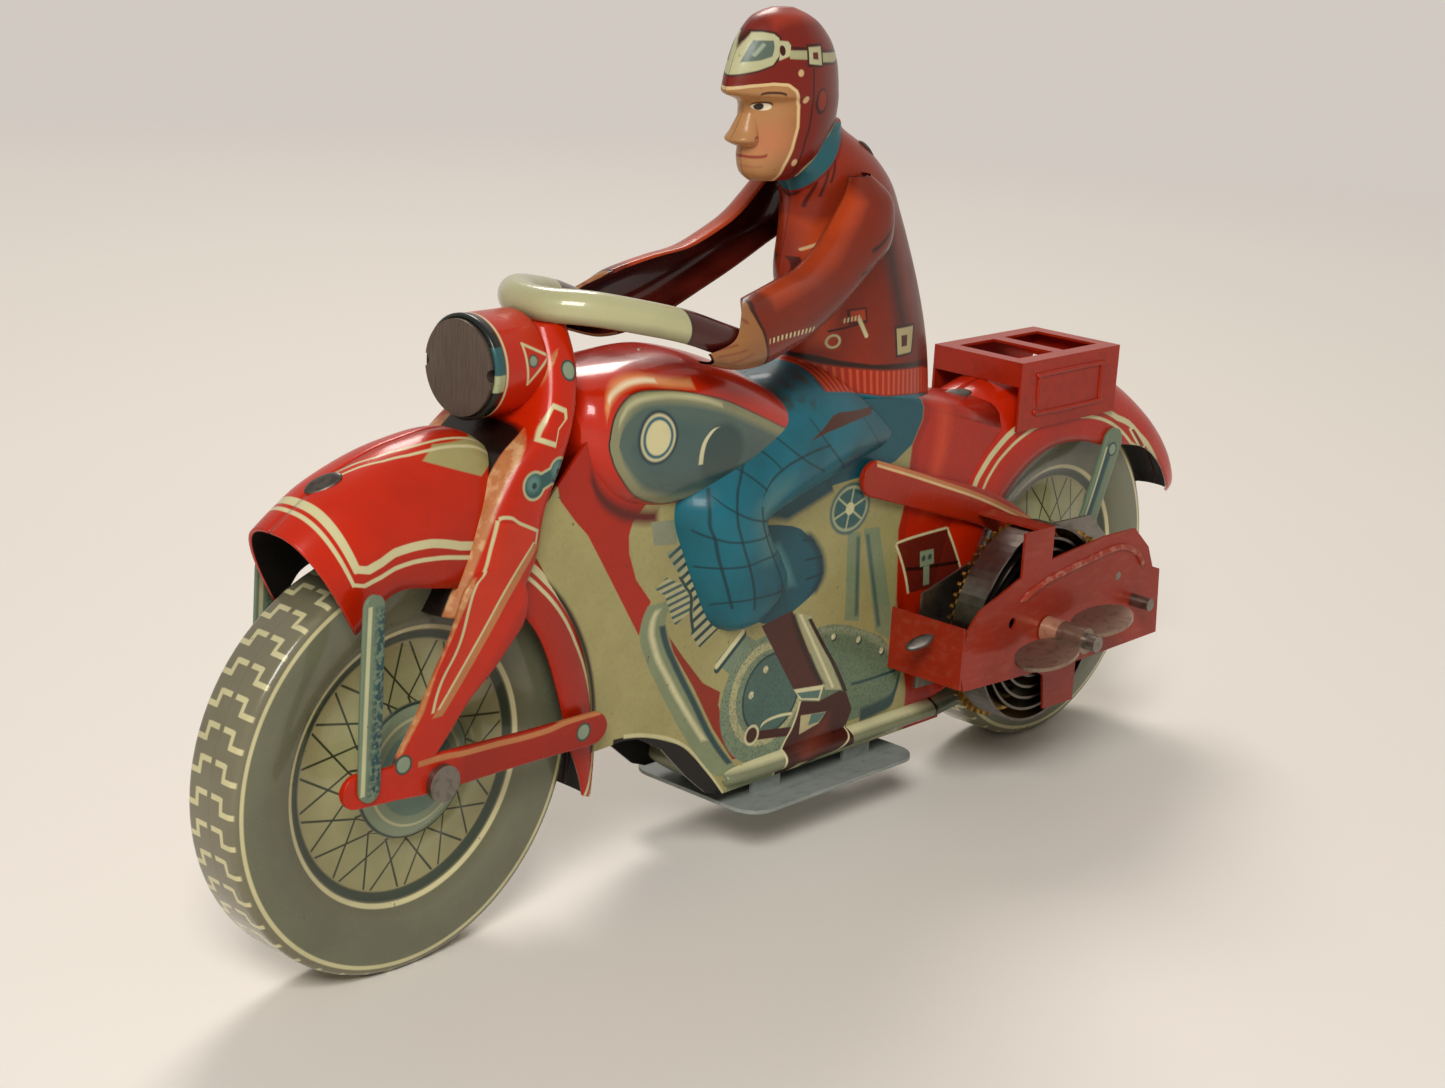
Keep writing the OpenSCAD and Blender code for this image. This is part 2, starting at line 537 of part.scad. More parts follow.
module rear_wheel_right()
    color("darkslategray") standing() translate([rear_x, 0, 0]) mirror([0, 1, 0]) wheel_disc(rear_axle_d);
module rear_bush() color("gray") standing() translate([rear_x, 0, 0]) bush(rear_axle_d, fixed);

// Axles
head_t = 1.4;
module front_axle()
    color("gray") standing() {
        rod(front_x, 0, front_axle_d, -fork_depth - head_t, fork_depth + head_t);
        rod(front_x, 0, axle_head_d, fork_depth, fork_depth + head_t);
        rod(front_x, 0, axle_head_d, -fork_depth - head_t, -fork_depth);
    }
module rear_axle()
    color("gray") standing() {
        rod(rear_x, 0, rear_axle_d, -stay_depth - loose - head_t, rear_axle_end);
        rod(rear_x, 0, axle_head_d - 1, -stay_depth - loose - head_t, -stay_depth - loose);
    }

// Gear outline with involute flanks, a tooth on the x axis
pressure = 20;
backlash = 0.16;
function involute(a) = tan(a) * 180 / PI - a;
function gear_outline(module_size, teeth) =
    let (pitch = module_size * teeth / 2, base = pitch * cos(pressure),
         tip = pitch + tip_share * module_size, root = pitch - root_share * module_size,
         low = max(base, root + 0.05),
         half_at_pitch = 90 / teeth - backlash / 2 / pitch * 180 / PI,
         flank = [for (k = [0:3]) let (r = low + (tip - low) * k / 3)
                      [r, half_at_pitch + involute(pressure) - involute(acos(min(base / r, 1)))]])
    [for (i = [0:teeth - 1])
         let (mid = 360 * i / teeth)
         for (p = concat([[root, -flank[0][1]]], [for (q = flank) [q[0], -q[1]]],
                         [for (k = [3:-1:0]) flank[k]], [[root, flank[0][1]]]))
             p[0] * [cos(mid + p[1]), sin(mid + p[1])]];
module gear(x, z, module_size, teeth, turn, bore, from, to)
    difference() {
        translate([x, 0, z]) sideways(from, to) rotate(turn) polygon(gear_outline(module_size, teeth));
        rod(x, z, bore, from - 1, to + 1);
    }

// Rear axle's pinion and the second arbor with its two gears
module axle_pinion()
    color("goldenrod") standing()
        gear(rear_x, 0, fine_module, axle_teeth, second_angle + 180 + 180 / axle_teeth, rear_axle_d + 2 * fixed,
             second_depth - 0.2, second_depth + gear_t + 0.3);
module second_arbor()
    color("gray") standing()
        rod(second_x, arbor_up, pivot_d, inner_plate_depth - plate_t, outer_plate_depth);
module second_pinion()
    color("goldenrod") standing()
        gear(second_x, arbor_up, coarse_module, pinion_teeth, first_angle + 180 + 180 / pinion_teeth,
             pivot_d + 2 * fixed, great_depth - 0.3, great_depth + gear_t + 0.5);
module second_gear()
    color("goldenrod") standing()
        gear(second_x, arbor_up, fine_module, second_teeth, second_angle, pivot_d + 2 * fixed,
             second_depth, second_depth + gear_t);

// Great wheel, driven by the ratchet through its click
click_reach = ratchet_d / 2 + 5;
click_at = 118;
click_x = key_x + click_reach * cos(click_at);
click_z = click_reach * sin(click_at);
rivet_d = 2;
tip_clear = 0.32;
tip_turn = 39;
click_tip = (ratchet_d / 2 + tip_clear) * [cos(tip_turn), -sin(tip_turn)] - [click_reach, 0];
window_at = great_r * 0.65;
window_d = great_r * 0.4;
module great_wheel()
    color("goldenrod") standing()
        difference() {
            gear(key_x, 0, coarse_module, great_teeth, first_angle, arbor_d + 2 * running, great_depth, great_depth + gear_t);
            rod(click_x, click_z, rivet_d + 2 * fixed, great_depth - 1, great_depth + gear_t + 1);
            for (a = [60:120:300])
                rod(key_x + window_at * cos(a), window_at * sin(a), window_d, great_depth - 1, great_depth + gear_t + 1);
        }
module click()
    color("gray") standing()
        difference() {
            translate([click_x, 0, click_z]) rotate([0, -click_at, 0])
                sideways(ratchet_depth, ratchet_depth + gear_t) {
                    circle(d = rivet_d + 2.6);
                    polygon([[-2.2, 0.8], click_tip, click_tip + [0.7, -1.4], click_tip + [2.5, -0.6], [2.2, -0.6]]);
                }
            rod(click_x, click_z, rivet_d + 2 * fixed, ratchet_depth - 1, ratchet_depth + gear_t + 1);
        }
module click_rivet()
    color("silver") standing() {
        rod(click_x, click_z, rivet_d, ratchet_depth - 0.5, great_depth + gear_t + 0.5);
        rod(click_x, click_z, rivet_d + 1.2, ratchet_depth - 0.5, ratchet_depth);
        rod(click_x, click_z, rivet_d + 1.2, great_depth + gear_t, great_depth + gear_t + 0.5);
        rod(click_x, click_z, rivet_d + 1.2, ratchet_depth + gear_t, great_depth);
    }
module click_spring()
    color("silver") standing()
        translate([click_x, 0, click_z]) rotate([0, -click_at, 0])
            sideways(ratchet_depth, great_depth)
                polygon([[0, -2.35], [0.35, -2.75], [2.9, -8.8], [4.4, -12.4], [3.7, -12.6], [2.3, -8.9]]);

// Winding arbor, ratchet wheel and key
module winding_arbor()
    color("gray") standing() rod(key_x, 0, arbor_d, inner_plate_depth - plate_t, key_depth + wing_w / 2);
module ratchet_wheel()
    color("gray") standing()
        difference() {
            translate([key_x, 0, 0]) sideways(ratchet_depth, ratchet_depth + gear_t)
                polygon([for (i = [0:ratchet_teeth - 1])
                             let (a = 360 * i / ratchet_teeth)
                             each [ratchet_d / 2 * [cos(a), sin(a)],
                                   (ratchet_d / 2 - 1.5) * [cos(a + 4), sin(a + 4)]]]);
            rod(key_x, 0, arbor_d + 2 * fixed, ratchet_depth - 1, ratchet_depth + gear_t + 1);
        }
key_waist = 6.4;
sleeve_from = outer_plate_depth + loose;
sleeve_to = key_depth - key_waist / 2 - fixed;
module key_sleeve()
    color("peru") standing()
        difference() {
            rod(key_x, 0, sleeve_d, sleeve_from, sleeve_to);
            rod(key_x, 0, arbor_d + 2 * fixed, sleeve_from - 1, sleeve_to + 1);
        }
module key_wings()
    color("gray") standing() translate([key_x, -key_depth, 0]) rotate([0, -key_tilt, 0])
        difference() {
            union() {
                translate([0, 0, -wing_t / 2]) linear_extrude(wing_t) {
                    for (side = [-1, 1])
                        translate([side * (key_span - wing_l) / 2, 0])
                            polygon([for (a = [0:9:351]) [wing_l * cos(a), wing_w * sin(a)] / 2]);
                    square([key_span - wing_l, key_waist], center = true);
                }
                rotate([90, 0, 0]) cylinder(d = sleeve_d, h = key_waist, center = true);
            }
            rotate([90, 0, 0]) cylinder(d = arbor_d + 2 * fixed, h = wing_w * 2, center = true);
            translate([0, key_waist / 2, 0]) rotate([-90, 0, 0]) cylinder(d = sleeve_d + 2 * hair, h = wing_w);
        }

// Clockwork plates: the outline round the great wheel grows with it, the rest keeps to the rear axle
drawn_great_r = 22.4;
grow = great_r / drawn_great_r;
plate_edge = concat([for (p = [[2.1, -19.7], [0.8, -11.3], [-2, -9.9], [-15, -9.3], [-29.2, -8.6], [-30.9, -3.6], [-30.9, 1],
                               [-29.3, 5.2], [-25.5, 9], [-16.9, 11.9], [-6.3, 15.5], [5, 16.7]]) [key_x + p[0] * grow, p[1]]],
                    [for (p = [[-14.3, 18], [-2, 17.8], [4.5, 12.3], [7.2, 6.9], [10.4, 5.8], [11.8, -10.3]])
                         [rear_x + p[0], p[1]]],
                    [for (p = [[13.5, -10.7], [13.6, -19.9]]) [key_x + p[0] * grow, p[1]]]);
flange_x = key_x - 30.9 * grow;
bracket_x = key_x - 11 * grow;
bracket_l = 11;
bracket_z = 24;
hook_l = 5;
module plate_holes(from, to) {
    rod(key_x, 0, arbor_d + 2 * running, from, to);
    rod(second_x, arbor_up, pivot_d + 2 * running, from, to);
    rod(rear_x, 0, rear_axle_d + 2 * running, from, to);
}
module outer_plate()
    color("indianred") standing()
        difference() {
            union() {
                sideways(outer_plate_depth - plate_t, outer_plate_depth) polygon(plate_edge);
                translate([flange_x, -outer_plate_depth, -8])
                    cube([plate_t, outer_plate_depth - panel_depth - hair, 14]);
                translate([bracket_x, -outer_plate_depth, 12])
                    cube([bracket_l, plate_t, bracket_z - 12]);
                translate([bracket_x + bracket_l - hook_l, -outer_plate_depth, bracket_z - plate_t])
                    cube([hook_l, outer_plate_depth - stay_depth - hair, plate_t]);
            }
            plate_holes(outer_plate_depth - 5, outer_plate_depth + 5);
            rod(key_x - 13.1 * grow, 3.8, 2.6, outer_plate_depth - 5, outer_plate_depth + 5);
        }
module inner_plate()
    color("slategray") standing()
        difference() {
            sideways(inner_plate_depth - plate_t, inner_plate_depth)
                polygon(concat([for (p = [[-28, -12], [-28, 10], [-6, 15.5]]) [key_x + p[0] * grow, p[1]]],
                               [for (p = [[-14, 18], [0, 17.5], [14, 6], [14, -13]]) [rear_x + p[0], p[1]]],
                               [for (p = [[2, -13], [2, -19], [-10, -19], [-10, -13]]) [key_x + p[0] * grow, p[1]]]));
            plate_holes(inner_plate_depth - 5, inner_plate_depth + 5);
        }
module plate_pillars()
    color("gray") standing()
        for (p = pillar_at)
            rod(p[0], p[1], pillar_d, inner_plate_depth, outer_plate_depth - plate_t);

// Mainspring: one flat strip wound from the arbor out to the first pillar, where it hooks round
spring_in = arbor_d / 2 + 1.4;
hook_r = pillar_d / 2 + hook_clear + spring_t / 2;
hook_at = pillar_at[0] - [key_x, 0];
hook_angle = atan2(hook_at[1], hook_at[0]);
spring_out = norm(hook_at) - hook_r;
turn_steps = 24;
function spring_line() =
    concat([for (i = [0:spring_turns * turn_steps])
                let (part = i / (spring_turns * turn_steps), a = hook_angle + 360 * spring_turns * (part - 1))
                (spring_in + (spring_out - spring_in) * part) * [cos(a), sin(a)]],
           [for (a = [20:20:200]) hook_at + hook_r * [cos(hook_angle + 180 - a), sin(hook_angle + 180 - a)]]);
function strip_side(line, i) =
    let (run = line[min(i + 1, len(line) - 1)] - line[max(i - 1, 0)]) [-run[1], run[0]] / norm(run);
module mainspring() {
    line = spring_line();
    n = len(line);
    color("dimgray") standing() translate([key_x, 0, 0]) sideways(spring_depth, spring_depth + spring_w)
        polygon(concat([for (i = [0:n - 1]) line[i] + strip_side(line, i) * spring_t / 2],
                       [for (i = [n - 1:-1:0]) line[i] - strip_side(line, i) * spring_t / 2]));
}
function spring_gap() =
    let (line = spring_line(), n = len(line))
    min([for (i = [0:n - 1]) for (j = [i + turn_steps / 2:1:n - 1]) norm(line[j] - line[i])]) - spring_t;
echo(mainspring_least_gap_mm = spring_gap());

left_half();
right_half();
left_arm();
right_arm();
handlebar();
headlamp_disc();
base_plate();
luggage_rack();
front_axle();
front_wheel_left();
front_wheel_right();
front_bush();
rear_axle();
rear_wheel_left();
rear_wheel_right();
rear_bush();
axle_pinion();
inner_plate();
outer_plate();
plate_pillars();
mainspring();
great_wheel();
click();
click_rivet();
click_spring();
second_arbor();
second_pinion();
second_gear();
winding_arbor();
ratchet_wheel();
key_sleeve();
key_wings();
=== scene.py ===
import math

import bpy
import numpy as np
from mathutils import Matrix, Vector


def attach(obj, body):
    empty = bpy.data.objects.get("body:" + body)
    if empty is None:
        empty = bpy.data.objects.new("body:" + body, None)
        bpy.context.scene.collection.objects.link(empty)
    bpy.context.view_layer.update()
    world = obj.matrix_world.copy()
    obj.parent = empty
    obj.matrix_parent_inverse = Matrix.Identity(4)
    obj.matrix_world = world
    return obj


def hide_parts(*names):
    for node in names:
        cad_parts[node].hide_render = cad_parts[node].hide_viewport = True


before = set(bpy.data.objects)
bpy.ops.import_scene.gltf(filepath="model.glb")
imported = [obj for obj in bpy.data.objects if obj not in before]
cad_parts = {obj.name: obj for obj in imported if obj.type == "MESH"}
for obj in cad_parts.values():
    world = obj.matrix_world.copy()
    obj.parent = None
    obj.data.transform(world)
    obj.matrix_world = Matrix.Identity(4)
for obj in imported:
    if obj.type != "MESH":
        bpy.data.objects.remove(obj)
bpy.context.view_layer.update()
scene = bpy.context.scene

# Studio: a wide sheet of pale paper as the floor, two large soft panels and a pale room.
# The camera stands low at the machine's left front, turned a little about its own axis.
scene.view_settings.view_transform = "Standard"


def ink(code):
    """Linear colour of a hexadecimal one: a channel c is c / 12.92 below 0.04045,
    and ((c + 0.055) / 1.055) ** 2.4 from there on."""
    parts = [int(code[i:i + 2], 16) / 255 for i in (1, 3, 5)]
    return tuple(c / 12.92 if c < 0.04045 else ((c + 0.055) / 1.055) ** 2.4 for c in parts) + (1.0,)


yaw, pitch, roll = (math.radians(a) for a in (41.86, -16.185, 3.346))
stand = Vector((-0.3824, -0.3257, 0.2074))
film_width = 36
image_width = 1445
focal_pixels = 2442.8
ahead = Vector((math.cos(pitch) * math.cos(yaw), math.cos(pitch) * math.sin(yaw), math.sin(pitch)))
level = ahead.cross(Vector((0, 0, 1))).normalized()
over = level.cross(ahead)
right = math.cos(roll) * level + math.sin(roll) * over
upward = math.cos(roll) * over - math.sin(roll) * level
camera_data = bpy.data.cameras.new("camera")
camera_data.sensor_width = film_width
camera_data.sensor_fit = "HORIZONTAL"
camera_data.lens = film_width * focal_pixels / image_width
camera_data.clip_start = 0.01
camera = bpy.data.objects.new("camera", camera_data)
camera.matrix_world = Matrix(((right.x, upward.x, -ahead.x, stand.x),
                              (right.y, upward.y, -ahead.y, stand.y),
                              (right.z, upward.z, -ahead.z, stand.z),
                              (0, 0, 0, 1)))
scene.collection.objects.link(camera)
scene.camera = camera

reach = 6.0
fade_start, fade_end = 0.35, 1.3
wall_colour = ink("#d2cac2")
corners = [(-reach, -reach, 0), (reach, -reach, 0), (reach, reach, 0), (-reach, reach, 0)]
floor_mesh = bpy.data.meshes.new("floor")
floor_mesh.from_pydata(corners, [], [(0, 1, 2, 3)])
floor = bpy.data.objects.new("floor", floor_mesh)
scene.collection.objects.link(floor)
paper = bpy.data.materials.new("paper")
paper.use_nodes = True
paper_nodes = paper.node_tree.nodes
paper_shader = paper_nodes["Principled BSDF"]
paper_shader.inputs["Base Color"].default_value = ink("#f3ece3")
paper_shader.inputs["Roughness"].default_value = 0.55
wall_glow = paper_nodes.new("ShaderNodeEmission")
wall_glow.inputs["Color"].default_value = wall_colour
floor_place = paper_nodes.new("ShaderNodeTexCoord")
floor_far = paper_nodes.new("ShaderNodeVectorMath")
floor_far.operation = "LENGTH"
far_share = paper_nodes.new("ShaderNodeMapRange")
far_share.inputs[1].default_value = fade_start
far_share.inputs[2].default_value = fade_end


def seen_directly(tree):
    """1 for what the camera sees straight, in a mirror or through glass, else 0:
    the sum of three kinds of ray, held to 1."""
    path = tree.nodes.new("ShaderNodeLightPath")
    total = path.outputs["Is Camera Ray"]
    for kind in ("Is Glossy Ray", "Is Transmission Ray"):
        added = tree.nodes.new("ShaderNodeMath")
        added.use_clamp = True
        tree.links.new(total, added.inputs[0])
        tree.links.new(path.outputs[kind], added.inputs[1])
        total = added.outputs[0]
    return total


seen_share = paper_nodes.new("ShaderNodeMath")
seen_share.operation = "MULTIPLY"
paper_mix = paper_nodes.new("ShaderNodeMixShader")
for source, target in ((floor_place.outputs["Object"], floor_far.inputs[0]),
                       (floor_far.outputs["Value"], far_share.inputs[0]),
                       (far_share.outputs[0], seen_share.inputs[0]),
                       (seen_directly(paper.node_tree), seen_share.inputs[1]),
                       (seen_share.outputs[0], paper_mix.inputs[0]),
                       (paper_shader.outputs[0], paper_mix.inputs[1]),
                       (wall_glow.outputs[0], paper_mix.inputs[2]),
                       (paper_mix.outputs[0], paper_nodes["Material Output"].inputs["Surface"])):
    paper.node_tree.links.new(source, target)
floor_mesh.materials.append(paper)

world = bpy.data.worlds.new("room")
world.use_nodes = True
scene.world = world
room_nodes = world.node_tree.nodes
room = room_nodes["Background"]
room.inputs["Color"].default_value = ink("#f2efe9")
room.inputs["Strength"].default_value = 0.22
wall = room_nodes.new("ShaderNodeBackground")
wall.inputs["Color"].default_value = wall_colour
room_mix = room_nodes.new("ShaderNodeMixShader")
for source, target in ((seen_directly(world.node_tree), room_mix.inputs[0]),
                       (room.outputs[0], room_mix.inputs[1]),
                       (wall.outputs[0], room_mix.inputs[2]),
                       (room_mix.outputs[0], room_nodes["World Output"].inputs["Surface"])):
    world.node_tree.links.new(source, target)
aim = Vector((0, 0, 0.08))
for name, spot, power, tint in (("left_panel", (-0.95, -0.75, 1.05), 16.5, (1.0, 0.98, 0.95)),
                                ("right_panel", (0.75, 0.9, 1.25), 11.5, (1.0, 0.95, 0.89))):
    lamp = bpy.data.lights.new(name, "AREA")
    lamp.size = 0.55
    lamp.energy = power
    lamp.color = tint
    panel = bpy.data.objects.new(name, lamp)
    panel.location = spot
    panel.rotation_euler = (aim - Vector(spot)).to_track_quat("-Z", "Y").to_euler()
    scene.collection.objects.link(panel)

# Engine panel: the flat middle of each pressing, sheet tin printed with the engine in many inks.
# It runs from one mudguard to the other, with a black arch edged in cream low at its front; the black is
# painted shade, standing in for an opening there.
# A narrow strip closes the top between the two panels behind the rider.


def wear_group():
    """Chips are specks of a fine noise over a threshold that sinks as the amount rises,
    soil is a broad soft noise, and dents a slow one."""
    unworn_limit, limit_drop = 0.735, 0.09
    group = bpy.data.node_groups.new("tin_wear", "ShaderNodeTree")
    group.interface.new_socket("Position", in_out="INPUT", socket_type="NodeSocketVector")
    group.interface.new_socket("Amount", in_out="INPUT", socket_type="NodeSocketFloat")
    for name in ("Chips", "Soil", "Height"):
        group.interface.new_socket(name, in_out="OUTPUT", socket_type="NodeSocketFloat")
    enter = group.nodes.new("NodeGroupInput")
    leave = group.nodes.new("NodeGroupOutput")
    noises = []
    for scale, detail in ((0.42, 9.0), (0.045, 4.0), (0.07, 2.0)):
        noise = group.nodes.new("ShaderNodeTexNoise")
        noise.inputs["Scale"].default_value = scale
        noise.inputs["Detail"].default_value = detail
        noise.inputs["Roughness"].default_value = 0.62
        group.links.new(enter.outputs["Position"], noise.inputs["Vector"])
        noises.append(noise.outputs[0])
    limit = group.nodes.new("ShaderNodeMath")
    limit.operation = "MULTIPLY_ADD"
    limit.inputs[1].default_value = -limit_drop
    limit.inputs[2].default_value = unworn_limit
    group.links.new(enter.outputs["Amount"], limit.inputs[0])
    over_limit = group.nodes.new("ShaderNodeMath")
    over_limit.operation = "SUBTRACT"
    group.links.new(noises[0], over_limit.inputs[0])
    group.links.new(limit.outputs[0], over_limit.inputs[1])
    for value, low, high, name in ((over_limit.outputs[0], 0.0, 0.03, "Chips"),
                                   (noises[1], 0.42, 0.72, "Soil"),
                                   (noises[2], 0.0, 1.0, "Height")):
        ramp = group.nodes.new("ShaderNodeMapRange")
        ramp.inputs[1].default_value = low
        ramp.inputs[2].default_value = high
        group.links.new(value, ramp.inputs[0])
        group.links.new(ramp.outputs[0], leave.inputs[name])
    return group


tin_wear = wear_group()


class Print:
    """Inks laid one over another on tin, each through a mask drawn in side view, in millimetres.
    A mask is 1 inside its form and 0 outside, and fades over the soft width."""

    def __init__(self, name, base):
        self.material = bpy.data.materials.new(name)
        self.material.use_nodes = True
        self.tree = self.material.node_tree
        self.tree.nodes.clear()
        place = self.node("TexCoord").outputs["Object"]
        self.spot = self.vector("MULTIPLY", place, (1000, 1000, 1000))
        self.x, self.y, self.z = self.node("SeparateXYZ", self.spot).outputs
        self.side = self.node("CombineXYZ", self.x, 0.0, self.z).outputs[0]
        self.colour = ink(base)

    def put(self, value, socket):
        """Links an output to a socket, or sets the socket to a plain value."""
        if isinstance(value, bpy.types.NodeSocket):
            self.tree.links.new(value, socket)
        elif value is not None:
            socket.default_value = value

    def node(self, kind, *values, **settings):
        """A new node with its settings, and its inputs filled in their order."""
        made = self.tree.nodes.new("ShaderNode" + kind)
        for key, value in settings.items():
            setattr(made, key, value)
        for socket, value in zip(made.inputs, values):
            self.put(value, socket)
        return made

    def math(self, operation, *values):
        """The named sum of plain numbers."""
        return self.node("Math", *values, operation=operation).outputs[0]

    def vector(self, operation, *values):
        """The named sum of points: a point."""
        return self.node("VectorMath", *values, operation=operation).outputs[0]

    def measure(self, operation, *values):
        """The named sum of points: a plain number."""
        return self.node("VectorMath", *values, operation=operation).outputs["Value"]

    def ramp(self, value, low, high):
        """0 at low, 1 at high, a straight line between them."""
        return self.node("MapRange", value, low, high, 0.0, 1.0).outputs[0]

    def within(self, off, half, soft):
        """1 where a distance is less than half a width."""
        return self.ramp(off, half + soft / 2, half - soft / 2)

    def lay(self, code, mask, share=1.0):
        """Lays an ink over the ones below it, as strong as the share where the mask is 1."""
        if share < 1:
            mask = self.math("MULTIPLY", mask, share)
        made = self.node("Mix", mask, data_type="RGBA")
        self.put(self.colour, made.inputs[6])
        self.put(ink(code), made.inputs[7])
        self.colour = made.outputs[2]

    def patch(self, code, points, share=1.0, **form):
        """Lays an ink inside a loop of points."""
        self.lay(code, self.area(points, **form), share)

    def line(self, code, width, points, share=1.0, **form):
        """Lays an ink along a pen line through points."""
        self.lay(code, self.stroke(points, width, **form), share)

    def dot(self, code, x, z, r, soft=0.3, share=1.0):
        """Lays an ink on a round spot."""
        self.lay(code, self.disc(x, z, r, soft), share)

    def rod(self, code, a, b, width):
        """Lays an ink along a straight bar with round ends."""
        self.lay(code, self.bar(a, b, width))

    def both(self, a, b):
        """Where both masks are 1."""
        return self.math("MULTIPLY", a, b)

    def without(self, a, b):
        """Where the first mask is 1 and the second is 0."""
        return self.both(a, self.math("SUBTRACT", 1.0, b))

    def past(self, value, line, soft=0.3):
        """1 where a value is more than that of a line."""
        return self.ramp(self.math("SUBTRACT", value, line), 0.0, soft)

    def disc(self, x, z, r, soft=0.3):
        """Inside a circle."""
        return self.within(self.measure("DISTANCE", self.side, (x, 0, z)), r, soft)

    def ring(self, x, z, r, width, soft=0.25):
        """Along a circle."""
        return self.band(self.measure("DISTANCE", self.side, (x, 0, z)), r, width, soft)

    def oval(self, x, z, along, high, soft=0.06):
        """Distance from the middle in units of the two half sizes, 1 on the edge."""
        moved = self.vector("SUBTRACT", self.side, (x, 0, z))
        unit = self.vector("MULTIPLY", moved, (1 / along, 0, 1 / high))
        return self.ramp(self.measure("LENGTH", unit), 1 + soft, 1 - soft)

    def bar(self, a, b, width, soft=0.25):
        """Distance from the straight piece between a and b, held to its two ends."""
        run = np.subtract(b, a)
        scaled = run / run.dot(run)
        moved = self.vector("SUBTRACT", self.side, (a[0], 0, a[1]))
        part = self.measure("DOT_PRODUCT", moved, (scaled[0], 0, scaled[1]))
        held = self.node("Clamp", part, 0.0, 1.0).outputs[0]
        foot = self.node("VectorMath", (run[0], 0, run[1]), operation="SCALE")
        self.put(held, foot.inputs["Scale"])
        return self.within(self.measure("DISTANCE", moved, foot.outputs[0]), width / 2, soft)

    def curve(self, value, points, smooth=False):
        """Height over value of the line through the points, held level past both ends."""
        points = np.array(sorted(map(tuple, points)), float)
        low = points.min(axis=0)
        span = np.maximum(points.max(axis=0) - low, 1e-6)
        unit = (points - low) / span
        across = self.math("MULTIPLY_ADD", value, 1 / span[0], -low[0] / span[0])
        made = self.node("FloatCurve", 1.0, across)
        made.mapping.extend = "HORIZONTAL"
        line = made.mapping.curves[0]
        line.points[0].location = unit[0]
        line.points[1].location = unit[-1]
        for spot in unit[1:-1]:
            line.points.new(*spot)
        for spot in line.points:
            spot.handle_type = "AUTO" if smooth else "VECTOR"
        made.mapping.update()
        return self.math("MULTIPLY_ADD", made.outputs[0], span[1], low[1])

    def area(self, points, upright=False, soft=0.3, smooth=False):
        """Inside a loop of points: between its upper and its lower line over the length,
        or between its front and its back line over the height if upright."""
        loop = np.array(points, float)
        if upright:
            loop = loop[:, ::-1]
        loop = np.roll(loop, -int(loop[:, 0].argmin()), axis=0)
        far = int(loop[:, 0].argmax())
        one, two = loop[:far + 1], np.vstack([loop[far:], loop[:1]])[::-1]
        steps = np.linspace(loop[0, 0], loop[far, 0], 64)
        if np.interp(steps, *one.T).sum() > np.interp(steps, *two.T).sum():
            one, two = two, one
        across, rise = (self.z, self.x) if upright else (self.x, self.z)
        below = self.math("SUBTRACT", rise, self.curve(across, one, smooth))
        above = self.math("SUBTRACT", self.curve(across, two, smooth), rise)
        return self.ramp(self.math("MINIMUM", below, above), 0.0, soft)

    def stroke(self, points, width, upright=False, soft=0.25, smooth=True):
        """A pen line of that width along the points, which run one way over the length,
        or over the height if upright. The width is evened out by the line's mean lean."""
        line = np.array(points, float)
        if upright:
            line = line[:, ::-1]
        lean = np.linalg.norm(np.diff(line, axis=0), axis=1).sum() / np.ptp(line[:, 0])
        across, rise = (self.z, self.x) if upright else (self.x, self.z)
        off = self.math("ABSOLUTE", self.math("SUBTRACT", rise, self.curve(across, line, smooth)))
        room = self.math("MULTIPLY_ADD", off, -1 / lean, width / 2 + soft / 2)
        beyond = self.math("ABSOLUTE", self.math("SUBTRACT", across, (line[0, 0] + line[-1, 0]) / 2))
        ends = self.math("SUBTRACT", np.ptp(line[:, 0]) / 2, beyond)
        return self.ramp(self.math("MINIMUM", room, ends), 0.0, soft)

    def stripes(self, turn, period, share, soft=0.12):
        """Bands across the direction turn: the distance along it, folded to and fro over half a period."""
        lean = math.radians(turn)
        along = self.measure("DOT_PRODUCT", self.side, (math.cos(lean), 0, math.sin(lean)))
        return self.within(self.math("PINGPONG", along, period / 2), period / 2 * share, soft)

    def round_axle(self, x, z):
        """Distance from an axle in side view, and the angle about it in degrees."""
        moved = self.vector("SUBTRACT", self.side, (x, 0, z))
        far = self.measure("LENGTH", moved)
        along, _, up = self.node("SeparateXYZ", moved).outputs
        turn = self.math("MULTIPLY", self.math("ARCTAN2", up, along), 180 / math.pi)
        return far, turn

    def band(self, value, middle, width, soft=0.25):
        """Where a value is within half a width of the middle."""
        off = self.math("ABSOLUTE", self.math("SUBTRACT", value, middle))
        return self.within(off, width / 2, soft)

    def cloud(self, scale, low, high, detail=3.0):
        """Soft patches of a noise."""
        noise = self.node("TexNoise", self.spot, None, scale, detail).outputs[0]
        return self.ramp(noise, low, high)

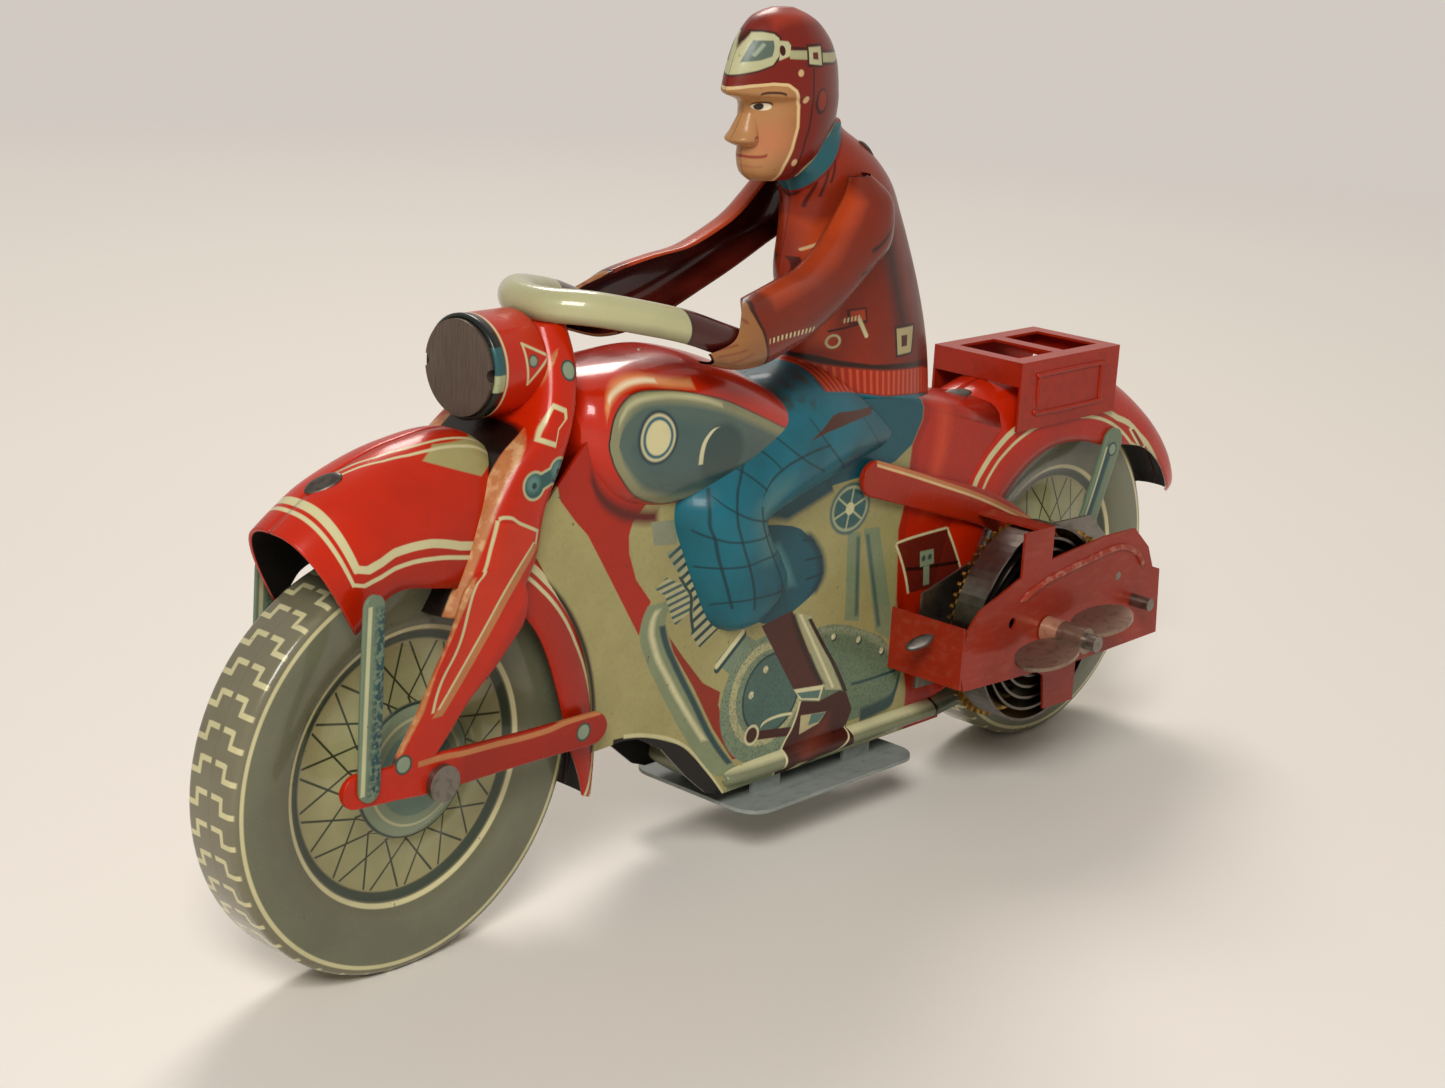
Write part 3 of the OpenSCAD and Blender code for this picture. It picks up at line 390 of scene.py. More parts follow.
    def finish(self, rough=0.24, coat=0.12, wear=0.5, metal=0.0, soiling=0.22):
        """Soil and chips over the last ink, then the glossy stoved varnish."""
        used = self.node("Group", self.spot, wear, node_tree=tin_wear)
        self.lay("#2c1a10", used.outputs["Soil"], soiling)
        self.lay("#4a352a", used.outputs["Chips"], 0.8)
        dull = self.math("MULTIPLY_ADD", used.outputs["Soil"], 0.12, rough)
        worn = self.math("MULTIPLY_ADD", used.outputs["Chips"], 0.2, dull)
        dents = self.node("Bump")
        shader = self.node("BsdfPrincipled")
        out = self.node("OutputMaterial")
        for made, name, value in ((dents, "Height", used.outputs["Height"]), (dents, "Strength", 0.25),
                                  (dents, "Distance", 0.0004), (shader, "Base Color", self.colour),
                                  (shader, "Roughness", worn), (shader, "Normal", dents.outputs[0]),
                                  (shader, "Metallic", metal), (shader, "Specular IOR Level", 0.25),
                                  (shader, "Coat Weight", coat), (shader, "Coat Roughness", 0.08),
                                  (out, "Surface", shader.outputs[0])):
            self.put(value, made.inputs[name])
        return self.material


axle_middle = (-8.0, 0.0, 40.0)
half_base = 100
front_spot = (axle_middle[0] - half_base, axle_middle[2])
rear_spot = (axle_middle[0] + half_base, axle_middle[2])
sheet_tin = 0.7
seam_gap = 0.04
halves = ("left_half", "right_half")


def mesh_piece(name, blocks, material, node_names=halves, body="chassis", smooth=True,
               thick=0.0):
    """One object from blocks of (points in millimetres from the middle of the axle line, faces)."""
    start = np.cumsum([0] + [len(points) for points, _ in blocks])
    points = np.vstack([points for points, _ in blocks]) + axle_middle
    faces = []
    for (_, quads), shift in zip(blocks, start):
        faces += (np.asarray(quads) + shift).tolist()
    mesh = bpy.data.meshes.new(name)
    mesh.from_pydata((points / 1000).tolist(), [], faces, shade_flat=not smooth)
    mesh.materials.append(material)
    piece = bpy.data.objects.new(name, mesh)
    scene.collection.objects.link(piece)
    if thick:
        sheet = piece.modifiers.new("sheet", "SOLIDIFY")
        sheet.thickness = thick / 1000
        sheet.offset = -1
        sheet.material_offset = 1
        mesh.materials.append(inside_varnish_and_shade)
    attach(piece, body)
    if node_names:
        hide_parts(*node_names)


def grid_block(grid, away, joined=False):
    """Points of a grid and its quads, wound so that they face away from the given points."""
    rows, columns = grid.shape[:2]
    number = np.arange(rows * columns).reshape(rows, columns)
    if joined:
        number = np.hstack([number, number[:, :1]])
    around = [number[:-1, :-1], number[1:, :-1], number[1:, 1:], number[:-1, 1:]]
    quads = np.stack(around, axis=-1).reshape(-1, 4)
    points = grid.reshape(-1, 3)
    first, second, third, fourth = (points[quads[:, k]] for k in range(4))
    outward = (points - np.broadcast_to(away, grid.shape).reshape(-1, 3))[quads].mean(axis=1)
    if np.sum(np.cross(third - first, fourth - second) * outward) < 0:
        quads = quads[:, ::-1]
    return points, quads


def round_block(grid):
    """A grid of closed rings, facing away from the middle of each ring."""
    return grid_block(grid, grid.mean(axis=1, keepdims=True), joined=True)


def both_sides(blocks):
    """The left pressing's blocks and their mirror images, the points of the seam a hair apart."""
    left = [(points - (0, seam_gap, 0), faces) for points, faces in blocks]
    return left + [(points * (1, -1, 1), np.asarray(faces)[:, ::-1]) for points, faces in left]


# Inside faces of the sheets: near-black varnish, dark enough to stand in for the shade inside the
# mudguards' mouths, so partly painted shade.
inside = Print("inside_varnish_and_shade", "#14100e")
inside.lay("#060505", inside.cloud(0.1, 0.4, 0.7), 0.6)
inside_varnish_and_shade = inside.finish(rough=0.45, coat=0.0, soiling=0.0)


def arc(middle, radius, start, end, count):
    """Points at equal steps of the angle, in degrees."""
    turn = np.radians(np.linspace(start, end, count))
    return np.stack([middle[0] + radius * np.cos(turn), middle[1] + radius * np.sin(turn)], axis=-1)


def smooth_rows(rows, steps):
    """Cubic through each four rows: half of 2q + (r - p)t + (2p - 5q + 4r - s)t2 + (3q - p - 3r + s)t3."""
    rows = np.array(rows, float)
    padded = np.vstack([rows[:1], rows, rows[-1:]])
    t = (np.arange(steps) / steps)[None, :, None]
    p, q, r, s = (padded[k:k + len(rows) - 1][:, None, :] for k in range(4))
    line = q + ((r - p) * t + (2 * p - 5 * q + 4 * r - s) * t ** 2 + (3 * q - p - 3 * r + s) * t ** 3) / 2
    return np.vstack([line.reshape(-1, rows.shape[1]), rows[-1:]])


def rounded(loop):
    """A closed loop with its corners rounded by the same cubic."""
    return smooth_rows(np.vstack([loop[-1:], loop, loop[:2]]), 3)[3:-4]


def resized(loop, middle, along, up):
    """A loop grown or shrunk about a middle, along and up."""
    return np.array(middle) + (np.array(loop) - middle) * (along, up)


panel_depth = 11.0
front_reach = np.interp(np.linspace(62, -8, 40), (-8, 0, 45, 62), (42, 41.6, 42, 46.5))
rear_reach = 51.8
panel_foot = [(-49, -5.5), (-44.7, -6.2), (-38, -10), (-30, -18), (-24, -23), (-20, -24.5), (54, -24.5)]
panel_top = [(28, 54), (-10, 58), (-58, 62)]
panel_edge = np.vstack([arc((-half_base, 0), front_reach, 62, -8, 40), panel_foot,
                        arc((half_base, 0), rear_reach, 208, 126.6, 40), panel_top])
red = "#c42402"
deep_red = "#8e1803"
cream = "#d3cb9b"
khaki = "#a89f68"
teal = "#146b7c"
olive = "#87926e"
dark_teal = "#24413f"
pale = "#d9d2a4"
sea_green = "#57776c"
shoe_brown = "#3f170f"
sock_shade = "#2c140e"
knee_highlight = "#46797c"
plaid = "#0f3238"


def lay_bag(tin):
    """A brown tool bag with a cream edge, a dark flap and a green buckle."""
    tin.patch("#641c10", [(25.6, 60.6), (43.8, 61.4), (49, 50.5), (47.6, 47.6), (31.4, 48.2), (30.2, 52.6)],
        upright=True)
    tin.line(cream, 0.6, [(25.4, 60.4), (30, 61), (43.6, 61.2)])
    tin.line(cream, 0.6, [(43.8, 61.4), (49, 50.8)], upright=True)
    tin.line(cream, 0.7, [(25.6, 60.4), (29.6, 53), (31.4, 48)], upright=True)
    tin.line("#2a0f0a", 0.8, [(29.8, 54), (38.8, 53), (48, 52.6)])
    for buckle in (((34.4, 57.4), (39.4, 57.2), (40, 53.4), (34.9, 53.4)),
                   ((36.1, 53.6), (38.3, 53.6), (38.8, 48.8), (36.6, 48.8))):
        tin.patch("#8a9878", buckle)
    for x in (36, 38.2):
        tin.dot("#41524a", x, 55.4, 0.7)


def lay_shoe(tin):
    """A brown shoe with a low cut, cream lines along its front and its sole."""
    tin.patch(shoe_brown, [(-3.2, 30.7), (2.7, 29.3), (9.8, 30.3), (12.1, 29.3), (14.5, 24.7), (12.6, 21),
        (12.4, 16.5), (4, 15.8), (-7.4, 14.9), (-11.3, 13.6), (-10, 18), (-8.3, 21.6), (-5.5, 25.8),
        (-4.4, 29)])
    tin.line("#6a2c1c", 3.0, [(-6.6, 18), (0, 20.6), (8, 24)], soft=3.0)
    tin.patch("#bdb184", [(-2.9, 27.4), (0.8, 26.9), (5.9, 26.3), (3.2, 23.9), (-3.1, 22.8)])
    tin.patch(sea_green, [(0.6, 26.9), (5.7, 26.2), (3.2, 24.2), (-0.4, 24.2)])
    tin.line(pale, 0.6, [(-3.4, 30.8), (-5.2, 25.8), (-8.6, 21.1), (-11.1, 14.6)], upright=True)
    tin.line(pale, 0.5, [(12.5, 21.4), (6.8, 17.4), (-0.4, 16.2), (-7.6, 15)])


engine = Print("engine_print", khaki)
engine.lay("#928b5a", engine.ramp(engine.x, -30, 20), 0.6)
red_edge = engine.curve(engine.z, [(25, 33.2), (47.4, 27.2), (63.7, 25.9), (70.2, 27.6), (82.5, 28.5),
    (87.7, 31.4), (97, 31.8)])
engine.lay("#b32003", engine.past(engine.x, red_edge))
# Painted shade along the crease just behind the red edge, and a painted highlight a little further back,
# make the flat red panel look rounded.
engine.lay(deep_red, engine.band(engine.math("SUBTRACT", engine.x, red_edge), 1.4, 2.4, 1.2), 0.6)
engine.line("#dd4a20", 4.0, [(39, 92), (39.5, 84), (37.5, 74), (36.5, 64)], upright=True, soft=4.0,
    share=0.7)
lay_bag(engine)
red_frame = [(-82, 104), (-80, 96), (-77, 86.8), (-73.1, 82.4), (-69.6, 79), (-65, 72.1), (-59.1, 63.1),
    (-54.2, 55.6), (-51.1, 62.3), (-55.5, 67.5), (-57.8, 73.3), (-58.1, 77), (-57.2, 79.5), (-52, 84),
    (-50, 95.5), (-49, 104.5)]
engine.patch("#ad1f03", red_frame, upright=True)
# Painted shadow: a dark maroon line just under the tank's lower edge.
engine.line("#5c130a", 2.2, [(-70, 92), (-68.9, 90), (-66.8, 86.4), (-62.8, 83.1), (-57.8, 80.9),
    (-49.8, 79.4)], soft=1.6)
strip = [(-46, 54.6), (-40.8, 48.5), (-34.5, 41.6), (-29.1, 38.5), (-29.5, 35.8), (-26.3, 28.3),
    (-20.4, 22.1), (-24.4, 22.4), (-31.1, 30.9), (-37.7, 41.4), (-44.1, 50.2)]
engine.patch("#93290f", strip, upright=True)
pipe_line = [(-48.4, 61.6), (-50.4, 56), (-48.8, 51.2), (-44.9, 44.4), (-39.9, 36.8), (-34.6, 29.4),
    (-28.4, 22.1), (-24.2, 19.4)]
engine.line(olive, 5.8, pipe_line, upright=True)
engine.line("#2b4a4c", 1.5, [(-47.7, 56.8), (-46.4, 52.9), (-43.2, 47.2), (-37.5, 38.5), (-30.9, 28.5),
    (-24.7, 21.4)], upright=True, soft=0.6)
engine.line(pale, 1.3, [(-48.6, 60.5), (-50.6, 56.9), (-49.7, 52.7), (-45.1, 44.8), (-40.2, 37.7),
    (-33, 28.4)], upright=True, soft=0.9)
low_pipe = [(-25.6, 18), (-18.2, 16.8), (-11.4, 16.1), (10.8, 15.6), (32, 15)]
engine.line(olive, 4.6, low_pipe)
engine.line("#c9c296", 1.0, [(x, z + 0.9) for x, z in low_pipe], soft=0.8)
fins = [(-47.8, 71.6), (-40.8, 73.4), (-38.7, 70), (-34.2, 61.4), (-29.6, 53.2), (-36.4, 49.5),
    (-39.2, 52.8), (-39, 57.8), (-39.2, 61), (-42.7, 65.3)]
big_fins = engine.area(fins, upright=True)
engine.lay("#b3ae84", big_fins)
engine.lay(dark_teal, engine.both(big_fins, engine.stripes(117, 2.1, 0.42)))
engine.lay(sea_green, engine.both(big_fins, engine.ramp(engine.x, -41, -47)), 0.5)
small_fins = engine.area([(-50.3, 64.5), (-47.1, 66.6), (-42.6, 64.4), (-39.5, 60.6), (-39.6, 57.9),
    (-43.8, 55.6), (-44.9, 57.2), (-47.4, 62.6)])
engine.lay("#b9b387", small_fins)
engine.lay("#47625a", engine.both(small_fins, engine.stripes(100, 1.5, 0.45)))
engine.line(dark_teal, 0.8, [(-43.4, 66), (-41.4, 63.4), (-39.6, 60.8), (-39.4, 57.4), (-38.4, 53.4)],
    upright=True)
engine.patch("#8d9277", [(-52.4, 78.8), (-44.3, 78.1), (-44.7, 72.7), (-51.1, 73.5)])
engine.patch("#76876f", [(-31.4, 45.4), (-24, 50.6), (-18, 47), (-26, 41)])
engine.rod(dark_teal, (-30.6, 43.8), (-23.2, 49.6), 1.9)
engine.rod(pale, (-30.8, 44.4), (-23.4, 50.2), 1.2)
crank = engine.disc(-14.8, 33.9, 14.2)
engine.lay("#7d8d70", crank)
engine.lay("#b7b284", engine.ring(-14.6, 35, 10.6, 2.0))
engine.dot("#4d6a60", -13.2, 34.6, 8.8)
engine.lay(dark_teal, engine.ring(-13.2, 34.6, 8.8, 0.6))
for x, z in ((-15.4, 40.4), (-19.5, 35.6)):
    engine.dot(pale, x, z, 0.8)
gear_case = engine.area([(0.9, 46.5), (5.9, 46.2), (11.2, 44.9), (22.9, 40), (30.7, 32.3), (31.1, 30.2),
    (28.6, 23.5), (17.3, 22), (0, 22), (-4, 34)])
engine.lay("#66785c", gear_case)
case_light = engine.stroke([(1, 45.6), (11, 43.8), (22, 39), (30, 32)], 1.6, soft=1.4)
engine.lay("#8a9474", engine.both(gear_case, case_light))
engine.line(dark_teal, 2.4, [(31, 30.6), (29.6, 26.4), (28.2, 23.8), (24, 23), (17, 22.6)], soft=0.8)
engine.line(dark_teal, 0.7, [(13.4, 30.7), (22.5, 30.5), (30.8, 31)])
for x, z in ((6.2, 43.2), (14.9, 40.7), (23.3, 36.4)):
    engine.dot(dark_teal, x + 0.3, z - 0.3, 0.9)
    engine.dot(pale, x, z, 0.7)
cast_parts = engine.math("MAXIMUM", crank, gear_case)
engine.lay("#2f4f46", engine.both(engine.cloud(2.4, 0.5, 0.6, 2.0), cast_parts), 0.45)
for tube in (((8.4, 66), (13, 65.6), (14.8, 44.9), (9.5, 46.2)),
             ((13.8, 66), (19.3, 65.6), (28.6, 36.8), (20.4, 41.5))):
    engine.patch("#7b8a68", tube, upright=True)
for tube_shade in (((12.2, 65), (13.6, 46)), ((15.2, 65), (21.8, 42))):
    engine.line("#4c6156", 1.2, tube_shade, upright=True, soft=0.8)
dial = np.array([8.7, 71.4])
dial_green = "#a9ad86"
engine.lay("#305a5a", engine.oval(*dial, 6.6, 5.7))
engine.lay(dial_green, engine.without(engine.oval(*dial, 5.9, 5.0), engine.oval(*dial, 5.3, 4.4)))
for lean in np.radians((20, 80, 140)):
    spoke = np.array([5.2 * math.cos(lean), 4.4 * math.sin(lean)])
    engine.rod(dial_green, dial - spoke, dial + spoke, 0.5)
engine.dot("#c9c496", *dial, 1.4)
hip = [(-13.5, 101), (31.6, 96), (31.6, 93.9), (31.4, 87.7), (28.5, 82.5), (23, 79.5), (14.7, 77.9),
    (2, 77.3), (-20, 80)]
engine.patch("#175460", hip)
engine.patch("#164750", [(-24, 80), (-22, 82.6), (-12.9, 83.2), (0.5, 81.9), (3.4, 75.6), (-4.4, 73.4),
    (-11.6, 71.4), (-17.3, 73)], soft=1.5)
engine.line("#1d5560", 3.4, [(-18, 76), (-8, 77), (2, 79)], soft=2.4)
calf = [(-24, 72), (-9.5, 70.6), (-3.6, 66.8), (0.2, 62.2), (1.2, 58.6), (-0.4, 55.4), (-4.4, 53),
    (-12, 50.6), (-20, 52), (-30, 62)]
engine.patch("#14505c", rounded(calf), upright=True)
engine.line("#0d3640", 2.0, [(-6.4, 69), (-2.4, 65.6), (0.2, 61.4), (0.6, 58.4), (-0.8, 55.6),
    (-3.4, 53.6)], upright=True, soft=1.6)
for a, b in (((-6, 67), (-2.6, 66.2)), ((-5, 62.4), (0.4, 62.2)), ((-4.2, 58), (1.2, 58.4))):
    engine.rod(plaid, a, b, 0.5)
# Painted highlight: a paler soft stroke down the front of the calf.
engine.line(knee_highlight, 2.0, [(-15.3, 68.4), (-11.3, 62.3), (-8.5, 56.7)], upright=True, soft=1.6)
engine.patch("#a9a880", [(-7.6, 51.6), (-1.5, 49.4), (10.6, 30.1), (4.6, 31.4)], upright=True)
engine.line(pale, 0.8, [(-5.4, 50.6), (1, 41), (7.4, 31.2)], upright=True)
engine.line(sock_shade, 1.0, [(-2.2, 49), (2.8, 42.2), (7.8, 35.7), (11.8, 29.3)], upright=True)
engine.patch("#4b2016", [(-17.8, 50.4), (-8, 52), (4.2, 32), (-5.5, 33)], upright=True)
engine.line(sock_shade, 1.3, [(-8, 51.4), (-2.7, 41.4), (3.9, 32.5)], upright=True, soft=0.9)
engine.patch(pale, [(-6.2, 34), (4.3, 32.8), (3, 29.2), (-3.4, 30.8)])
engine.patch(sea_green, [(-5.2, 33), (3.3, 31.9), (2.6, 29.8), (-3, 31)])
engine.rod(shoe_brown, (-18.6, 26.3), (-6, 24.4), 2.0)
engine.line(pale, 0.6, [(-16, 26.9), (-12.8, 28.8), (-5.8, 28.4)])
engine.dot(pale, -18.6, 26.5, 2.3)
engine.dot(shoe_brown, -18.6, 26.5, 1.7)
lay_shoe(engine)
arch = [(-60, 35.6), (-57.2, 35.4), (-50.3, 34), (-40, 29.6), (-33, 23), (-26.4, 15.4)]
# Painted shade: the black below the arch stands in for an opening in the sheet; the cream line along its
# edge is print.
engine.patch("#0c0a09", arch + [(-26, 14), (-60.5, 14)])
engine.line(cream, 0.7, arch[1:])
engine.lay("#2a1a10", engine.ring(*front_spot, 42.2, 1.2, soft=0.8))
engine.lay("#2a2018", engine.cloud(0.9, 0.52, 0.7), 0.1)
engine_print = engine.finish()
engine_panel = np.column_stack([panel_edge[:, 0], np.full(len(panel_edge), -panel_depth), panel_edge[:, 1]])
engine_face = (engine_panel, np.arange(len(engine_panel))[None, :])
saddle_rows = [(24, 54.2, 1.6), (28, 54, 1.6), (41.7, 49.9, 3.2), (55.4, 45.7, 4.8), (69.1, 41.6, 6.4)]
oval_power = 2.6


def saddle_grid():
    """Ovals across the machine, on rows of place along, edge height and rise:
    edge + rise (1 - w ** n) ** (1 / n) over the share w of the half width, n = 2.6."""
    along, edge, rise = (np.array(column)[:, None] for column in zip(*saddle_rows))
    share = np.linspace(-1, 1, 25)[None, :]
    up = edge + rise * (1 - np.abs(share) ** oval_power) ** (1 / oval_power)
    return np.stack(np.broadcast_arrays(along, share * panel_depth, up), axis=-1)


mesh_piece("saddle_strip", [grid_block(saddle_grid(), (40, 0, 0))], engine_print, thick=0.6)
mesh_piece("engine_panels", both_sides([engine_face]), engine_print, smooth=False, thick=sheet_tin)

# Mudguards: deep troughs over both wheels, pressed in one with each side and printed red.
# Two cream lines follow their edges; the rear one has a tail, and hides most of the wheel's front.
wheel_radius = 40
guard_depth = 12


def guard_grid(rows, axle):
    """Quarter ovals round an axle: radius = edge + (crown - edge) cos(t) ** e, depth = deep sin(t) ** e,
    e = 2 / 2.6. A row is the turn, crown and edge over the tread, and what is added to the depth."""
    rows = smooth_rows(rows, 10)
    t = np.linspace(0, np.pi / 2, 33)[None, :]
    turn = np.radians(rows[:, :1])
    edge = wheel_radius + rows[:, 2:3]
    radius = edge + (rows[:, 1:2] - rows[:, 2:3]) * np.cos(t).clip(0) ** (2 / oval_power)
    depth = (guard_depth + rows[:, 3:4]) * np.sin(t) ** (2 / oval_power)
    return np.stack([axle + radius * np.cos(turn), -depth, radius * np.sin(turn)], axis=-1)


front_guard = [(-20, 9.5, 4, -2), (-10, 8, -2, -0.5), (0, 7.3, -5.7, 0), (20, 7.4, -7.2, 0), (42, 9, -6, 0),
    (57, 12, -5.2, 0), (67, 18, -5, 0), (77, 22.5, -4.8, 0), (90, 20.6, -4, 0), (101, 18.6, -2.2, 0),
    (108, 17.5, -2.4, 0), (113.5, 16.5, -4, -0.2), (119.5, 15.6, -4.8, -0.5)]
rear_guard = [(13.5, 16.5, 13.5, -7), (17, 16.3, 10.5, -4.5), (23, 14.6, 7.5, -2.5), (32, 12.6, 4.4, -1),
    (45, 10.8, 0.6, 0), (58, 10.4, -3.5, 0), (72, 11, -6.4, 0), (90, 12.5, -5.4, 0), (110, 15.5, -3.4, 0),
    (128, 20, -2.3, 0), (150, 22.5, -1.6, 0), (178, 22, 0, 0), (193, 21.6, 1.6, 0), (201, 21.2, 3, 0)]
front = Print("front_guard_print", red)
far, turn = front.round_axle(*front_spot)
# Painted shade: the red darkens towards the mudguard's edge, nearer the axle.
front.lay(deep_red, front.ramp(far, 47, 40), 0.55)
front.patch(khaki, [(-107.6, 98.2), (-103.4, 100.4), (-91.7, 100.4), (-86, 101), (-90, 96.6), (-95.4, 94)])
thick = front.curve(turn, [(-18, 46.5), (5, 44.1), (14, 43.4), (26, 42.7), (49, 42.6), (65, 43.2),
    (82.1, 43.2), (90.9, 44.4), (96.4, 44.8), (101.8, 45.1), (105.8, 44.6), (109.6, 44.6), (112.4, 46)])
thin = front.curve(turn, [(-18, 44.4), (5, 42), (26, 40.6), (49, 40.5), (65, 41), (82.3, 41.1),
    (90.9, 41.6), (96.9, 42.1), (102.6, 42.4), (106.8, 42.2), (111.9, 42.4), (114.6, 43.9)])
front.lay(cream, front.both(front.band(far, thick, 1.6), front.ramp(turn, 112.9, 112.7)))
front.lay(cream, front.both(front.band(far, thin, 0.8), front.ramp(turn, 114.7, 114.5)))
front.lay(cream, front.both(front.band(turn, 112.1, 1.8), front.ramp(far, 45.2, 45.6)))
front.lay(cream, front.both(front.band(turn, 114.3, 0.9), front.ramp(far, 43.2, 43.6)))
crown_line = front.curve(turn, [(80, -5.6), (86.1, -5.1), (91.1, -4.6), (96, -3.5), (99.8, -1.9),
    (104.5, -0.5), (110, 0.8)])
on_crown = front.both(front.ramp(far, 55, 56), front.ramp(turn, 108, 107))
for apart in (-0.8, 0.8):
    front.lay(cream, front.both(front.band(front.y, front.math("ADD", crown_line, apart), 0.5), on_crown))
front_print = front.finish()
rear = Print("rear_guard_print", red)
far, turn = rear.round_axle(*rear_spot)
# Painted shade: the red darkens towards the mudguard's edge, nearer the axle.
rear.lay(deep_red, rear.ramp(far, 47, 40), 0.4)
rear.patch(khaki, [(20, 90), (31.1, 87.9), (30.1, 76.8), (26.6, 68.4), (25.1, 57.2), (26.6, 47.8),
    (30.9, 32.9), (34.7, 22.5), (34, 10), (20, 10)], upright=True)
upper = rear.curve(turn, [(30, 43.7), (39, 42.3), (51.2, 41.3), (59.7, 41.6), (67.4, 41.1), (90, 42.8),
    (118.4, 47.5), (125.6, 48.7), (134.2, 49.5), (141.2, 49.7), (148, 49)])
lower = rear.curve(turn, [(36, 40.4), (54.6, 38), (68.9, 39.1), (90, 40.4), (118.7, 44.9), (124.6, 45.8),
    (132.7, 46.7), (139, 46.8), (148, 46)])
rear_span = rear.ramp(turn, 149.5, 148.5)
rear.lay(cream, rear.both(rear.band(far, upper, 1.4), rear_span))
rear.lay(cream, rear.both(rear.band(far, lower, 0.8), rear_span))
lay_bag(rear)
rear.patch(cream, [(112.6, 74.6), (115.4, 75.2), (121.4, 69.4), (119, 67.6)])
rear.patch(deep_red, [(113.8, 74.3), (115.2, 74.4), (120.2, 69.5), (119, 68.7)])
rear_print = rear.finish()
for name, rows, axle, material in (("front_mudguard", front_guard, -half_base, front_print),
                                   ("rear_mudguard", rear_guard, half_base, rear_print)):
    block = grid_block(guard_grid(rows, axle), (axle, 0, 0))
    mesh_piece(name, both_sides([block]), material, thick=sheet_tin)

# Fork, with the lamp drum, the axle link and the strut: blades swelled out of each pressing.
# The blade ends in a flat tongue that carries the axle; link and strut are tongues of the same tin.


def half_form(rows, depth):
    """Oval arcs from a front edge, out to the side, to a back edge: middle + half cos(a) ** e along,
    depth sin(a) ** e out, e = 2 over the row's roundness. Both ends shrink to their middle on the seam."""
    rows = smooth_rows(rows, 10)
    a = np.linspace(0, np.pi, 49)[None, :]
    e = 2 / rows[:, 5:6]
    c = np.sign(np.cos(a)) * np.abs(np.cos(a)) ** e
    s = np.abs(np.sin(a)) ** e
    s[:, [0, -1]] = 0
    middle, half = (rows[:, 0:2] + rows[:, 2:4]) / 2, (rows[:, 0:2] - rows[:, 2:4]) / 2
    along = middle[:, :1] + half[:, :1] * c
    up = middle[:, 1:] + half[:, 1:] * c
    grid = np.stack([along, -(depth + rows[:, 4:5]) * s, up], axis=-1)
    heart = np.stack([middle[:, 0], np.zeros(len(rows)), middle[:, 1]], axis=-1)[:, None, :]
    first, last = (np.broadcast_to(heart[k], grid[k].shape)[None] for k in (0, -1))
    heart = np.concatenate([heart[:1], heart, heart[-1:]])
    return grid_block(np.concatenate([first, grid, last]), heart)


def flat_tongue(line, widths, inner, outer):
    """A strip along a line in side view with round ends: a rounded box section carried along it.
    Section: half width times cos(a) ** 0.35 across, half thickness times sin(a) ** 0.35 out."""
    rows = smooth_rows(np.column_stack([line, widths]), 12)
    run = np.gradient(rows[:, :2], axis=0)
    run /= np.linalg.norm(run, axis=1)[:, None]
    cap = np.radians(np.linspace(10, 90, 9))[:, None]
    caps = [np.hstack([rows[k, :2] + way * run[k] * rows[k, 2] / 2 * np.sin(cap), rows[k, 2] * np.cos(cap)])
            for k, way in ((0, -1), (-1, 1))]
    rows = np.vstack([caps[0][::-1], rows, caps[1]])
    run = np.vstack([np.repeat(run[:1], len(cap), 0), run, np.repeat(run[-1:], len(cap), 0)])
    across = np.column_stack([-run[:, 1], run[:, 0]])
    a = np.linspace(0, 2 * np.pi, 33)[:-1]
    c = np.sign(np.cos(a)) * np.abs(np.cos(a)) ** 0.35
    s = np.sign(np.sin(a)) * np.abs(np.sin(a)) ** 0.35
    flat = rows[:, None, :2] + across[:, None, :] * (rows[:, 2:3] / 2 * c[None, :])[:, :, None]
    depth = (inner + outer) / 2 + (outer - inner) / 2 * s
    out = np.broadcast_to(-depth, flat.shape[:2])
    return round_block(np.stack([flat[..., 0], out, flat[..., 1]], axis=-1))


def lay_rivet(tin, x, z, outer, inner):
    """A grey-green rivet head with a dark edge."""
    tin.dot("#24413c", x, z, outer)
    tin.dot("#8b9b80", x, z, inner)


fork_rows = [(-72, 79.5, -63.5, 79.5, -7.8, 3), (-73.5, 72, -63.8, 72, -3.8, 3.4),
    (-76.5, 63, -66.5, 63, -1.3, 4), (-84, 56.5, -69, 55.5, -0.3, 4), (-90, 47, -73, 47, 0, 4),
    (-94.5, 38, -74.5, 38, 0, 4), (-98.5, 30, -79, 29.5, 0, 4)]
tan = "#c07a48"
fork = Print("fork_print", red)
shade_edge = fork.curve(fork.z, [(119, -74.5), (103, -77), (95, -80), (87, -84), (78, -86), (70, -90),
    (50, -106)])
fork.lay(deep_red, fork.past(fork.x, shade_edge, 4.0), 0.7)
band_edge = fork.curve(fork.z, [(119, -75.5), (115.8, -78.1), (112, -81), (107.5, -83.6), (101.7, -86.5),
    (97.7, -90.1), (93.2, -93.6), (89.1, -95.9), (84.7, -98), (81.5, -99.5), (75.1, -102.6), (67.2, -107),
    (61.2, -110.5), (54.4, -113.4), (50.2, -116.4), (47, -118.6)])
from_seam = fork.math("ABSOLUTE", fork.y)
edge_strip = fork.ramp(from_seam, 9.2, 9.6)
before_edge = fork.ramp(fork.math("SUBTRACT", band_edge, fork.x), -1.3, -0.9)
on_front = fork.both(before_edge, fork.ramp(fork.z, 46.5, 48))
worn_band = fork.both(on_front, edge_strip)
